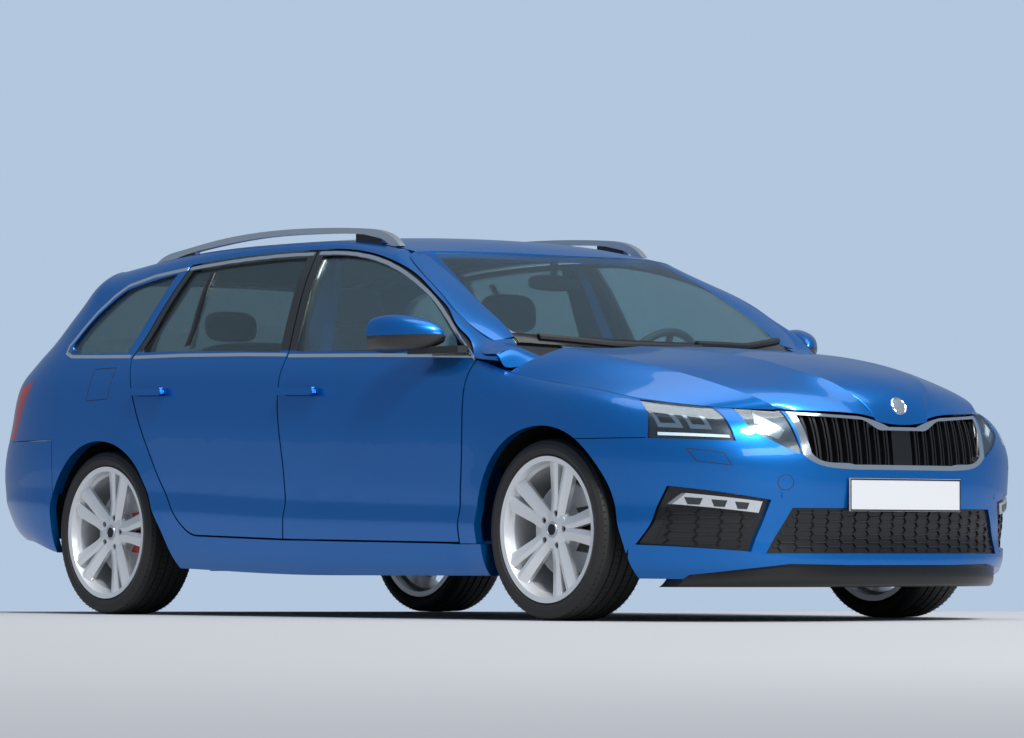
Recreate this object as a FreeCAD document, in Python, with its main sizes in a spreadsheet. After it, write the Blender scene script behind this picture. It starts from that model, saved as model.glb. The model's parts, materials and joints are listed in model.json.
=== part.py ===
import FreeCAD, Part
import math
import os
from FreeCAD import Placement, Rotation, Vector

doc = FreeCAD.newDocument("StationWagon")

# Driving sizes in millimetres, kept in the sheet under these names
driving_sizes = {
    "overall_length": 4689,
    "body_half_width": 907,
    "wheel_base": 2677,
    "front_overhang": 880,
    "tyre_radius": 315,
    "tyre_width": 225,
    "rim_radius": 254,
    "track_half": 768,
    "arch_radius": 358,
    "shut_gap": 7,
    "seat_gap": 0.3,
    "door_depth": 70,
    "door_frame_depth": 38,
    "side_depth": 45,
    "bumper_depth": 32,
    "roof_depth": 26,
    "hood_depth": 22,
    "glass_thickness": 5,
    "glass_inset": 6,
    "hinge_axis_x": 882,
    "hinge_setback": 85,
    "hinge_low": 540,
    "hinge_high": 790,
    "post_face_x": 750,
    "floor_top": 205,
    "floor_thickness": 30,
    "disc_radius": 165,
    "disc_thickness": 24,
    "rear_disc_radius": 150,
    "engine_width": 620,
    "engine_length": 480,
    "engine_height": 520,
}

sheet = doc.addObject("Spreadsheet::Sheet", "Sizes")
for row, (name, value) in enumerate(driving_sizes.items(), start=1):
    sheet.set("A%d" % row, name)
    sheet.set("B%d" % row, str(value))
    sheet.setAlias("B%d" % row, name)
doc.recompute()


def size(name):
    return float(sheet.get(name))


half_width = size("body_half_width")
wheel_base = size("wheel_base")
front_overhang = size("front_overhang")
rear_end = size("overall_length") - front_overhang
hub_height = size("tyre_radius")
gap = size("shut_gap")
seat = size("seat_gap")
axle_y = front_overhang - size("overall_length") / 2.0

pieces = []


def spot(x, station, z):
    """A point from its station, the distance behind the front axle."""
    return Vector(x, station + axle_y, z)


def smooth(table, t):
    """A monotone cubic through the table's (place, value) pairs."""
    if t <= table[0][0]:
        return table[0][1]
    if t >= table[-1][0]:
        return table[-1][1]
    slopes = []
    for (t0, v0), (t1, v1) in zip(table, table[1:]):
        slopes.append((v1 - v0) / float(t1 - t0))
    tangents = [slopes[0]]
    for before, after in zip(slopes, slopes[1:]):
        if before * after <= 0:
            tangents.append(0.0)
        else:
            tangents.append(2 * before * after / (before + after))
    tangents.append(slopes[-1])
    for index in range(len(slopes)):
        t0, v0 = table[index]
        t1, v1 = table[index + 1]
        if t <= t1:
            span = float(t1 - t0)
            k = (t - t0) / span
            return (
                (2 * k ** 3 - 3 * k ** 2 + 1) * v0
                + (k ** 3 - 2 * k ** 2 + k) * span * tangents[index]
                + (3 * k ** 2 - 2 * k ** 3) * v1
                + (k ** 3 - k ** 2) * span * tangents[index + 1]
            )


def spacing(lines):
    """Parameters from 0 to 1 that follow the mean distance between neighbouring points."""
    steps = []
    for index in range(len(lines[0]) - 1):
        shares = []
        for line in lines:
            length = sum(p.distanceToPoint(q) for p, q in zip(line, line[1:]))
            shares.append(line[index].distanceToPoint(line[index + 1]) / length)
        steps.append(sum(shares) / len(shares))
    places = [0.0]
    for step in steps:
        places.append(places[-1] + step)
    return [place / places[-1] for place in places]


def through(points, places):
    line = Part.BSplineCurve()
    line.interpolate(Points=points, Parameters=places)
    return line


def net_surface(grid, along=None):
    """A smooth surface through a net of points, given column by column."""
    across = spacing([list(line) for line in zip(*grid)])
    along = along or spacing(grid)
    columns = [through(column, along) for column in grid]
    rows = [through([column.getPole(k) for column in columns], across)
            for k in range(1, columns[0].NbPoles + 1)]
    poles = [[row.getPole(k) for row in rows] for k in range(1, rows[0].NbPoles + 1)]
    surface = Part.BSplineSurface()
    surface.buildFromPolesMultsKnots(
        poles, rows[0].getMultiplicities(), columns[0].getMultiplicities(),
        rows[0].getKnots(), columns[0].getKnots(), False, False, rows[0].Degree, columns[0].Degree)
    return surface


def border_edges(surface):
    u0, u1, v0, v1 = surface.bounds()
    return [
        surface.uIso(u0).toShape(),
        surface.uIso(u1).toShape(),
        surface.vIso(v0).toShape(),
        surface.vIso(v1).toShape(),
    ]


def slab(outer_grid, inner_grid, creases=()):
    """A closed panel between an outer and an inner net, each bent sharply at the columns in creases."""
    limits = [0] + list(creases) + [len(outer_grid) - 1]
    faces = []
    borders = []
    for grid in (outer_grid, inner_grid):
        along = spacing(grid)
        strips = [net_surface(grid[first:last + 1], along) for first, last in zip(limits, limits[1:])]
        faces += [strip.toShape() for strip in strips]
        edges = [border_edges(strip) for strip in strips]
        ends = [edge for strip_edges in edges for edge in strip_edges[2:]]
        borders.append([edges[0][0], edges[-1][1]] + ends)
    for outer_edge, inner_edge in zip(*borders):
        faces.append(Part.makeRuledSurface(outer_edge, inner_edge))
    shell = Part.makeShell(faces)
    shell.sewShape()
    solid = Part.makeSolid(shell)
    if solid.Volume < 0:
        solid.reverse()
    return solid


def curve(points):
    line = Part.BSplineCurve()
    line.interpolate(points)
    return line


def tangents(run):
    """Unit directions at each point of a run: straight with two points, else curved."""
    points = [Vector(a, b, 0) for a, b in run]
    if len(points) == 2:
        straight = (points[1] - points[0]).normalize()
        return [straight, straight]
    line = curve(points)
    return [Vector(*line.tangent(line.parameter(point))[0]) for point in points]


def grown(outline, distance):
    """The outline moved outwards by distance, or inwards when it is negative."""
    area = 0.0
    for run in outline:
        for (a0, b0), (a1, b1) in zip(run, run[1:]):
            area += 0.5 * (a0 * b1 - a1 * b0)
    turn = distance if area > 0 else -distance
    directions = [tangents(run) for run in outline]
    moved = []
    for index, run in enumerate(outline):
        new_run = []
        for (a, b), along in zip(run, directions[index]):
            new_run.append((a + turn * along.y, b - turn * along.x))
        moved.append(new_run)
    for index in range(len(outline)):
        before = index - 1
        t0 = directions[before][-1]
        t1 = directions[index][0]
        across = t0.x * t1.y - t0.y * t1.x
        p0 = moved[before][-1]
        p1 = moved[index][0]
        corner = (0.5 * (p0[0] + p1[0]), 0.5 * (p0[1] + p1[1]))
        if abs(across) > 0.05:
            k = ((p1[0] - p0[0]) * t1.y - (p1[1] - p0[1]) * t1.x) / across
            corner = (p0[0] + k * t0.x, p0[1] + k * t0.y)
        moved[before][-1] = corner
        moved[index][0] = corner
    return moved


def polygon(points):
    """A straight-sided outline."""
    closed = points + [points[0]]
    return [[p, q] for p, q in zip(closed, closed[1:])]


def face_of(outline, place):
    edges = []
    for run in outline:
        points = [place(a, b) for a, b in run]
        if len(points) == 2:
            edges.append(Part.makeLine(points[0], points[1]))
        else:
            edges.append(curve(points).toShape())
    return Part.Face(Part.Wire(edges))


def side_prism(outline, x_from, x_to):
    """An outline of stations and heights, pushed sideways through the car."""
    face = face_of(outline, lambda station, z: spot(x_from, station, z))
    return face.extrude(Vector(x_to - x_from, 0, 0))


def front_prism(outline, station_from, station_to):
    """An outline of half-widths and heights, pushed along the car."""
    face = face_of(outline, lambda x, z: spot(x, station_from, z))
    return face.extrude(Vector(0, station_to - station_from, 0))


def block(x0, x1, s0, s1, z0, z1):
    return Part.makeBox(x1 - x0, s1 - s0, z1 - z0, spot(x0, s0, z0))


def mirrored(shape):
    return shape.mirror(Vector(0, 0, 0), Vector(1, 0, 0))


def both_sides(shape):
    return Part.makeCompound([shape, mirrored(shape)])


def largest(shape):
    return max(shape.Solids, key=lambda solid: solid.Volume)


def keep(label, shape):
    """Adds a free-form sub-part to the document under its own name."""
    feature = doc.addObject("Part::Feature", label)
    feature.Shape = shape
    feature.Placement = shape.Placement
    feature.Label = label
    pieces.append(feature)
    return feature


# Feature lines of the body, each a height along the stations
sill_line = [(-880, 140), (-500, 146), (0, 150), (367, 155), (1300, 154), (2184, 177), (2700, 200),
             (3004, 233), (3280, 285), (3809, 300)]
crease_line = [(-880, 395), (0, 380), (460, 391), (1508, 423), (2191, 454), (2900, 470), (3809, 480)]
top_line = [(-866, 712), (-736, 719), (-529, 737), (-389, 758), (-186, 798), (31, 829), (243, 867),
            (416, 913), (986, 937), (1582, 963), (2100, 980), (2488, 986), (2909, 990), (3809, 1000)]
window_top_line = [(250, 1160), (835, 1262), (1119, 1306), (1328, 1347), (1617, 1364), (1996, 1362),
                   (2387, 1340), (2748, 1300), (2900, 1288), (3200, 1275)]
rail_height_line = [(250, 1200), (835, 1300), (1119, 1342), (1250, 1367), (1450, 1388), (1700, 1399),
                    (2100, 1400), (2400, 1391), (2664, 1370), (2900, 1343), (3200, 1312)]
rail_inset_line = [(250, 270), (835, 290), (1119, 302), (1400, 304), (2600, 304), (2900, 304), (3200, 305)]
glass_inset_line = [(900, 39), (950, 55), (1050, 92), (1150, 135), (1250, 185), (1340, 239), (1420, 300)]

# How far each level of the body section lies inside the full width
door_insets = [67, 35, 18, 7, 13, 11, 4, 0, 6, 21, 41, 54]
fender_insets = [67, 39, 23, 14, 18, 17, 10, 7, 11, 23, 49, 79]
tail_insets = [57, 35, 21, 12, 14, 13, 7, 5, 12, 29, 47, 58]
low_levels = [0, 0.24, 0.55, 0.8, 1.0]
high_levels = [0, 0.25, 0.45, 0.68, 0.85, 0.95, 1.0]
crease_rise = 35.0

# How far each level falls short of the nose and the tail, and how square its corner is
nose_insets = [45, 12, 18, 12, 6, 2, 0, 2, 10, 16, 17, 14]
nose_squareness = [2.6, 2.6, 2.6, 2.6, 2.6, 2.6, 2.6, 2.6, 2.5, 2.35, 2.2, 2.1]
tail_start = 2900.0
tail_insets_rear = [149, 79, 39, 19, 6, 0, 24, 71, 109, 161, 234, 269]
tail_squareness = 2.8
upper_tail_reach = [(1000, 636), (1069, 535), (1180, 385), (1290, 240), (1345, 170)]
corner_fractions = [0.0, 0.16, 0.32, 0.46, 0.58, 0.69, 0.78, 0.86, 0.92, 0.965, 0.99]


def level_heights(station):
    sill = smooth(sill_line, station)
    crease = smooth(crease_line, station)
    top = smooth(top_line, station)
    heights = [sill + level * (crease - sill) for level in low_levels]
    start = crease + crease_rise
    heights += [start + level * (top - start) for level in high_levels]
    return heights


def arch_bulge(station, z):
    bulge = 0.0
    for centre in (0.0, wheel_base):
        away = math.hypot(station - centre, z - hub_height) - size("arch_radius")
        bulge += 6.0 * math.exp(-(max(0.0, away) / 45.0) ** 2)
    return bulge


def level_half_widths(station):
    heights = level_heights(station)
    widths = []
    for level in range(len(heights)):
        inset = smooth([(0, fender_insets[level]), (600, door_insets[level]), (2200, door_insets[level]),
                        (2900, tail_insets[level])], station)
        widths.append(half_width - inset + arch_bulge(station, heights[level]))
    return widths


def superellipse(fraction, squareness):
    return (1.0 - fraction ** squareness) ** (1.0 / squareness)


def nose_column(fraction, depth=0.0):
    """The body section's levels at one fraction of the way out from the nose's centre."""
    widths = level_half_widths(0)
    column = []
    for level, width in enumerate(widths):
        reach = front_overhang - nose_insets[level] - depth
        station = -reach * superellipse(fraction, nose_squareness[level])
        x = (width - depth) * fraction
        column.append((x, station, level_heights(station)[level]))
    return column


def side_column(station, depth=0.0):
    heights = level_heights(station)
    widths = level_half_widths(station)
    return [(width - depth, station, z) for width, z in zip(widths, heights)]


def upper_column(station, depth=0.0):
    """The levels above the belt line: side windows, cant rail and roof edge."""
    belt = smooth(top_line, station)
    window_top = smooth(window_top_line, station)
    wall = depth
    column = []
    for share in (0.25, 0.5, 0.75, 1.0):
        z = belt + share * (window_top - belt)
        column.append((half_width - smooth(glass_inset_line, z) - wall, station, z - 0.3 * share * wall))
    edge_x = half_width - smooth(glass_inset_line, window_top)
    rail_x = half_width - smooth(rail_inset_line, station)
    rail_z = smooth(rail_height_line, station)
    bow_x = 0.5 * (edge_x + rail_x) + 7.0
    bow_z = 0.5 * (window_top + rail_z) + 7.0
    column.append((bow_x - 0.75 * wall, station, bow_z - 0.65 * wall))
    column.append((rail_x - 0.3 * wall, station, rail_z - wall))
    return column


def tail_column(fraction, depth=0.0, upper=True):
    widths = level_half_widths(tail_start)
    column = []
    for level, width in enumerate(widths):
        reach = rear_end - tail_start - tail_insets_rear[level] - depth
        station = tail_start + reach * superellipse(fraction, tail_squareness)
        column.append(((width - depth) * fraction, station, level_heights(station)[level]))
    if upper:
        for x, station, z in upper_column(tail_start, depth):
            reach = smooth(upper_tail_reach, z) - depth
            moved = tail_start + reach * superellipse(fraction, tail_squareness)
            column.append((x * fraction, moved, z))
    return column


def to_spots(columns, side=1.0):
    return [[spot(side * x, station, z) for x, station, z in column] for column in columns]


def nose_columns(depth):
    columns = [nose_column(fraction, depth) for fraction in corner_fractions]
    stations = [0, 90, 180, 270, 350, 420, 480]
    right = columns + [side_column(station, depth) for station in stations]
    left = [[(-x, station, z) for x, station, z in column] for column in reversed(right[1:])]
    return to_spots(left + right)


def side_columns(depth_low, depth_high):
    """Columns of the whole body side, door to tail corner, from sill to roof edge."""
    stations = [270, 350, 430, 520, 640, 800, 980, 1180, 1400, 1640, 1880, 2100, 2260, 2400, 2540, 2680,
                2800, 2900]
    columns = []
    for station in stations:
        columns.append(side_column(station, depth_low) + upper_column(station, depth_high))
    for fraction in reversed(corner_fractions[4:]):
        low = tail_column(fraction, depth_low, upper=False)
        high = tail_column(fraction, depth_high)[len(low):]
        columns.append(low + high)
    return to_spots(columns, side=-1.0)


def tail_columns(depth):
    right = [tail_column(fraction, depth, upper=False) for fraction in corner_fractions]
    right += [side_column(station, depth) for station in (2900, 2800, 2700)]
    left = [[(-x, station, z) for x, station, z in column] for column in reversed(right[1:])]
    return to_spots(left + right)


# The windscreen pillar, from the hood's rear corner up to the cant rail
pillar_foot = 285
pillar_head = 1119
pillar_low_line = [(285, 908), (360, 915), (412, 924), (552, 1034), (835, 1205), (1119, 1306)]
pillar_high_line = [(285, 950), (360, 964), (437, 977), (470, 987), (620, 1070), (835, 1190), (1119, 1342)]
pillar_inner_line = [(285, 790), (360, 757), (437, 716), (470, 702), (620, 680), (835, 648), (1119, 605)]


def pillar_column(station, depth=0.0):
    low_z = smooth(pillar_low_line, station)
    low_x = half_width - smooth(glass_inset_line, low_z)
    high_z = smooth(pillar_high_line, station)
    high_x = smooth(pillar_inner_line, station)
    column = []
    for share, bulge in ((0.0, 0.0), (0.3, 8.0), (0.65, 9.0), (1.0, 0.0)):
        x = low_x + share * (high_x - low_x) + bulge - (1.0 - 0.6 * share) * depth
        z = low_z + share * (high_z - low_z) + bulge - (0.2 + 0.8 * share) * depth
        column.append((x, station, z))
    return column


def pillar_columns(depth):
    stations = [285, 340, 400, 470, 550, 640, 740, 840, 940, 1040, 1119]
    return to_spots([pillar_column(station, depth) for station in stations], side=-1.0)


# Shut lines of the right-hand side, as stations and heights
b_post_foot = (1509, 285)
b_post_belt = (1524, 962)
b_post_head = (1603, 1362)
front_door_line = [
    [(412, 921), (429, 832), (426, 671), (446, 442), (465, 270)],
    [(465, 270), b_post_foot],
    [b_post_foot, (1507, 693), (1528, 877), b_post_belt],
    [b_post_belt, b_post_head],
    [b_post_head, (1328, 1346), (1119, 1305), (835, 1202), (552, 1031), (412, 921)],
]
rear_door_line = [
    [b_post_belt, (1528, 877), (1507, 693), b_post_foot],
    [b_post_foot, (2050, 301)],
    [(2050, 301), (2100, 312), (2186, 386), (2329, 598), (2446, 812), (2525, 978)],
    [(2525, 978), (2389, 1339)],
    [(2389, 1339), (1996, 1361), b_post_head],
    [b_post_head, b_post_belt],
]
front_arch_line = [
    [(352, 120), (361, 313), (312, 494), (180, 628), (0, 674), (-180, 628), (-290, 530),
     (-337, 455), (-360, 372), (-380, 260), (-398, 176), (-410, 90)],
    [(-410, 90), (352, 90), (352, 120)],
]
rear_arch_line = [
    [(wheel_base - 478, 120), (wheel_base - 412, 284), (wheel_base - 350, 410),
     (wheel_base - 250, 568), (wheel_base - 120, 648), (wheel_base, 667),
     (wheel_base + 125, 645), (wheel_base + 254, 560), (wheel_base + 335, 440),
     (wheel_base + 354, 313), (wheel_base + 345, 120)],
    [(wheel_base + 345, 120), (wheel_base - 478, 120)],
]
front_window_line = [
    [(470, 938), (1478, 974), (1482, 974)],
    [(1482, 974), (1552, 1338)],
    [(1552, 1338), (1328, 1325), (1119, 1284), (835, 1180), (600, 1035), (470, 938)],
]
rear_window_line = [
    [(1582, 978), (2100, 998), (2480, 1004)],
    [(2480, 1004), (2362, 1318)],
    [(2362, 1318), (1996, 1337), (1650, 1338)],
    [(1650, 1338), (1582, 978)],
]
quarter_window_line = [
    [(2575, 1006), (2760, 1010), (2940, 1012)],
    [(2940, 1012), (2975, 1030), (2978, 1052)],
    [(2978, 1052), (2880, 1165), (2748, 1258)],
    [(2748, 1258), (2600, 1290), (2455, 1310)],
    [(2455, 1310), (2575, 1006)],
]

far_out = -1000.0
door_slab = slab(side_columns(0, 0), side_columns(size("door_depth"), size("door_frame_depth")))
side_slab = slab(side_columns(0, 0), side_columns(size("side_depth"), size("side_depth")))

inside = -450.0


def cut_out(wire, distance):
    return side_prism(grown(wire, distance), far_out, inside)


print("skins ready")

# Doors of the right side, with their windows cut
front_door = door_slab.common(cut_out(front_door_line, -gap / 2)).cut(cut_out(front_window_line, 0))
rear_door = door_slab.common(cut_out(rear_door_line, -gap / 2)).cut(cut_out(rear_window_line, 0))
hinge_x = -size("hinge_axis_x")
front_hinge = 446 + size("hinge_setback")
rear_hinge = 1507 + size("hinge_setback")
hinge_heights = (size("hinge_low"), size("hinge_high"))
eye_radius = 9.0
pin_radius = 5.0


def hinged(door, station):
    """Cuts the hinge pockets of a door and stands its two pins in them."""
    for z in hinge_heights:
        pocket = block(hinge_x - eye_radius - 1.5, hinge_x + 120, station - 140, station + 15, z - 22, z + 22)
        pin = Part.makeCylinder(pin_radius, 60, spot(hinge_x, station, z - 30))
        door = door.cut(pocket).fuse(pin)
    return door


handle_skin = slab(side_columns(-30, -30), side_columns(-13, -13))
handle_roots = slab(side_columns(-20, -20), side_columns(12, 12))


def with_handle(door, start, z):
    """Fuses a pull handle on two feet to a door, its front end at a station."""
    bar = polygon([(start, z - 10), (start + 14, z - 17), (start + 214, z - 13), (start + 226, z - 2),
                   (start + 220, z + 14), (start + 10, z + 12)])
    feet = (polygon([(start + 6, z - 10), (start + 34, z - 10), (start + 34, z + 10), (start + 6, z + 10)]),
            polygon([(start + 180, z - 9), (start + 220, z - 9), (start + 220, z + 10), (start + 180, z + 10)]))
    handle = handle_skin.common(cut_out(bar, 0))
    return door.multiFuse([handle] + [handle_roots.common(cut_out(foot, 0)) for foot in feet])


front_door = largest(with_handle(hinged(front_door, front_hinge), 1272, 828))
rear_door = largest(with_handle(hinged(rear_door, rear_hinge), 2229, 850))
keep("door_front_right", front_door)
keep("door_front_left", mirrored(front_door))
keep("door_rear_right", rear_door)
keep("door_rear_left", mirrored(rear_door))
print("doors ready")

# Side glass lies a little inside the skin and fills its window
glass_slab = slab(side_columns(0, size("glass_inset")),
                  side_columns(20, size("glass_inset") + size("glass_thickness")))
glass_lines = (("front", front_window_line), ("rear", rear_window_line))
for label, line in glass_lines:
    pane = largest(glass_slab.common(cut_out(line, -seat)))
    keep("glass_%s_right" % label, pane)
    keep("glass_%s_left" % label, mirrored(pane))
quarter_pane = largest(glass_slab.common(cut_out(quarter_window_line, -seat)))
keep("quarter_windows", both_sides(quarter_pane))

# Outer body side: sill, pillars, cant rail and quarter panel
tailgate_line = [
    [(0, 1500), (-572, 1500)],
    [(-572, 1500), (-578, 1310)],
    [(-578, 1310), (-645, 1130), (-690, 1010), (-700, 950)],
    [(-700, 950), (-664, 686)],
    [(-664, 686), (664, 686)],
    [(664, 686), (700, 950)],
    [(700, 950), (690, 1010), (645, 1130), (578, 1310)],
    [(578, 1310), (572, 1500)],
    [(572, 1500), (0, 1500)],
]
rear_bumper_top = 678.0
side_trim = polygon([(340, 100), (340, 265), (470, 265), (pillar_head, 290), (pillar_head, 1500), (3035, 1500),
                     (3200, 1200), (3600, 900), (3600, rear_bumper_top), (3000, rear_bumper_top),
                     (3000, 100)])
body_side = side_slab.common(side_prism(side_trim, far_out, inside))
for wire, distance in ((front_door_line, gap / 2), (rear_door_line, gap / 2), (quarter_window_line, 0)):
    body_side = body_side.cut(cut_out(wire, distance))
body_side = body_side.cut(cut_out(rear_arch_line, 0))
body_side = body_side.cut(front_prism(grown(tailgate_line, gap / 2), 2960, 4200))
body_side = body_side.cut(block(-600.3, -300, 2800, 3016, 1200, 1500))
tail_lamp_line = polygon([(3195, 912), (3334, 684), (3720, 684), (3720, 838), (3450, 872), (3301, 894)])
tail_lamp = side_slab.common(cut_out(tail_lamp_line, -seat)).cut(
    front_prism(grown(tailgate_line, gap / 2), 2960, 4200))
body_side = body_side.cut(cut_out(tail_lamp_line, 0))
keep("tail_lamps", both_sides(largest(tail_lamp)))
pillar = slab(pillar_columns(0), pillar_columns(size("side_depth"))).cut(cut_out(front_door_line, gap / 2))
post_x = -size("post_face_x")
rocker = block(-822, post_x + 10, 408, 2200, 180, 264)
for jack_station in (560, 2060):
    rocker = rocker.fuse(block(-788, -748, jack_station - 40, jack_station + 40, 168, 182))


def hinge_leaf(station, z):
    arm = block(hinge_x, post_x + 5, station - 9, station + 9, z - 7, z + 7)
    eye = Part.makeCylinder(eye_radius, 30, spot(hinge_x, station, z - 15))
    hole = Part.makeCylinder(pin_radius + 0.05, 40, spot(hinge_x, station, z - 20))
    return arm.fuse(eye).cut(hole)


def post_section(x_out, x_in, s0, s1, z):
    return Part.makePolygon([spot(x_out, s0, z), spot(x_out, s1, z), spot(x_in, s1, z), spot(x_in, s0, z),
                             spot(x_out, s0, z)])


front_post = block(post_x, post_x + 60, 420, 570, 250, 800)
centre_post = block(post_x, post_x + 60, 1480, 1640, 250, 940)
centre_post_top = Part.makeLoft([post_section(post_x, post_x + 60, 1480, 1640, 939),
                                 post_section(-600, -560, 1560, 1650, 1345)], True)
leaves = [hinge_leaf(station, z) for station in (front_hinge, rear_hinge) for z in hinge_heights]
body_side = body_side.multiFuse([pillar, rocker, front_post, centre_post, centre_post_top] + leaves)
keep("body_side_right", body_side)
keep("body_side_left", mirrored(body_side))
print("sides ready")

# Front skin: fenders and bumper share one net that runs round the nose
front_slab = slab(nose_columns(0), nose_columns(size("bumper_depth")))
front_deep = slab(nose_columns(8), nose_columns(60))
lens_slab = slab(nose_columns(1.0), nose_columns(5.0))
lamp_foot = 623.0

outer_lamp_line = [
    [(628, 612), (820, 622)],
    [(820, 622), (800, 690), (767, 757)],
    [(767, 757), (630, 733)],
    [(630, 733), (628, 612)],
]
inner_lamp_line = [
    [(428, 566), (500, 600), (580, 652)],
    [(580, 652), (585, 748)],
    [(585, 748), (461, 748)],
    [(461, 748), (428, 566)],
]
grille_line = [
    [(-452, 800), (-425, 566)],
    [(-425, 566), (-380, 537), (-330, 524), (-228, 517)],
    [(-228, 517), (228, 517)],
    [(228, 517), (330, 524), (380, 537), (425, 566)],
    [(425, 566), (452, 800)],
    [(452, 800), (-452, 800)],
]
grille_hole_line = [
    [(-416, 702), (-395, 574)],
    [(-395, 574), (-372, 553), (-330, 541), (-228, 534)],
    [(-228, 534), (228, 534)],
    [(228, 534), (330, 541), (372, 553), (395, 574)],
    [(395, 574), (416, 702)],
    [(416, 702), (325, 697), (195, 689)],
    [(195, 689), (150, 676), (118, 658), (84, 653)],
    [(84, 653), (-84, 653)],
    [(-84, 653), (-118, 658), (-150, 676), (-195, 689)],
    [(-195, 689), (-325, 697), (-416, 702)],
]
lower_intake_line = polygon([(-460, 386), (-540, 232), (540, 232), (460, 386)])
lip_line = polygon([(-745, 60), (-719, 160), (-608, 178), (-463, 197), (-239, 193), (239, 193), (463, 197),
                    (608, 178), (719, 160), (745, 60)])
side_intake_line = polygon([(830, 262), (790, 461), (530, 413), (583, 238)])
fog_lamp_line = polygon([(777, 399), (752, 436), (557, 407), (567, 369)])


def mirrored_outline(outline):
    return [[(-a, b) for a, b in run] for run in outline]


def front_cut(outline, distance, to_station=-300):
    return front_prism(grown(outline, distance), -960, to_station)


# Hood: lanes that run from the cowl to the nose, as (half-width, station, height)
hood_lanes = [
    [(0, 130, 973), (0, -190, 945), (0, -430, 911), (0, -640, 868), (0, -790, 806), (0, -863, 673)],
    [(60, 130, 972), (60, -190, 944), (60, -430, 910), (60, -640, 867), (60, -789, 804), (60, -862, 676)],
    [(330, 131, 967), (300, -190, 938), (264, -430, 904), (252, -632, 856), (203, -762, 806), (112, -857, 692)],
    [(430, 134, 958), (400, -187, 923), (355, -418, 887), (330, -615, 838), (275, -745, 793), (195, -846, 709)],
    [(545, 140, 956), (515, -180, 910), (460, -405, 871), (430, -590, 822), (370, -715, 787), (325, -808, 716)],
    [(664, 160, 953), (624, -165, 900), (576, -385, 850), (541, -560, 801), (503, -680, 760), (459, -731, 723)],
    [(750, 203, 917), (700, -105, 882), (655, -310, 836), (615, -475, 794), (560, -625, 754), (466, -727, 721)],
]
hood_creases = [2, 5, 9, 12]
hood_slides = [0.5, 0.5, 0.5, 0.5, 0.8, 1.0]
hood_drops = [1.0, 1.0, 1.0, 1.0, 0.8, 0.0]
hood_edge_stations = [243, -30, -220, -380, -560, -722]


def nose_top_x(station):
    reach = front_overhang - nose_insets[-1]
    width = level_half_widths(0)[-1]
    if station >= 0:
        return level_half_widths(station)[-1]
    fraction = superellipse(min(1.0, -station / reach), nose_squareness[-1])
    return width * fraction


def hood_columns(depth, spare=0.0):
    """The hood's net at a depth under its skin; spare widens it on all its edges."""
    lanes = []
    last = len(hood_edge_stations) - 1
    for lane in hood_lanes:
        column = []
        for index, (x, s, z) in enumerate(lane):
            s += hood_slides[index] * depth + spare * (1.0 - 2.0 * index / last)
            z -= hood_drops[index] * depth + (spare if index == last else 0.0)
            column.append((x * (1 - depth / 900.0), s, z))
        lanes.append(column)
    edge = []
    for index, station in enumerate(hood_edge_stations):
        s = station + 0.5 * depth + spare * (1.0 - 2.0 * index / last)
        z = smooth(top_line, station) - 0.5 * hood_drops[index] * depth - (spare if index == last else 0.0)
        edge.append((nose_top_x(station) - gap - 0.2 * depth + spare, s, z))
    lanes.append(edge)
    left = [[(-x, s, z) for x, s, z in lane] for lane in reversed(lanes[1:])]
    return to_spots(left + lanes)


hood_room = slab(hood_columns(-20, gap), hood_columns(30, gap), hood_creases)
arch_room = Part.makeCylinder(402.5, 384, spot(-838, 0, hub_height), Vector(1, 0, 0))
arch_rooms = arch_room.fuse(mirrored(arch_room))


def trimmed(shape):
    """Leaves room for the hood above and the front wheels beside."""
    return shape.cut(hood_room).cut(arch_rooms)


bumper_seam = polygon([(-960, 60), (-960, 900), (-560, 900), (-470, lamp_foot), (0, lamp_foot), (0, 60)])
fender_seam = polygon([(-470, lamp_foot + 3), (-557, 940), (478, 940), (478, 268), (0, 268), (0, lamp_foot + 3)])
front_skin = trimmed(front_slab.cut(side_prism(front_arch_line, -1000, 1000)))
front_bumper = front_skin.common(side_prism(bumper_seam, -1000, 1000))
for outline in (grille_line, lower_intake_line, side_intake_line, mirrored_outline(side_intake_line),
                outer_lamp_line, inner_lamp_line, mirrored_outline(outer_lamp_line),
                mirrored_outline(inner_lamp_line)):
    front_bumper = front_bumper.cut(front_cut(outline, 0))
front_bumper = front_bumper.cut(front_cut(lip_line, 0))
front_bumper = largest(front_bumper.cut(block(-261, 261, -900, -874.7, 375, 489)))
front_bumper = front_bumper.fuse(block(-500, 500, -800, -700.3, 420, 470))
keep("front_bumper", front_bumper)

fender = front_skin.common(side_prism(fender_seam, -1000, 0))
fender = fender.cut(front_cut(mirrored_outline(outer_lamp_line), 0, -200))
fender = fender.cut(side_prism(grown(front_door_line, 0.6 * gap), -1000, 0))
pillar_seat = pillar.copy()
pillar_seat.translate(Vector(0, 0, -1.5))
fender = fender.cut(pillar_seat)
fender = largest(fender)
keep("front_fenders", both_sides(fender))

inner_housing_line = polygon([(428, 566), (500, 600), (580, 652), (582, 708), (520, 697), (452, 690)])
outer_housing = largest(trimmed(front_deep.common(front_cut(outer_lamp_line, -seat, -200))))
inner_housing = largest(front_deep.common(front_cut(inner_housing_line, -seat, -200)).cut(arch_rooms))
lamp_solids = [outer_housing, mirrored(outer_housing), inner_housing, mirrored(inner_housing)]
lens_solids = []
for outline in (outer_lamp_line, inner_lamp_line):
    lens = largest(trimmed(lens_slab.common(front_cut(outline, -seat, -200))))
    lens_solids += [lens, mirrored(lens)]
keep("headlamps", Part.makeCompound(lamp_solids))
keep("headlamp_lenses", Part.makeCompound(lens_solids))

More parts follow.
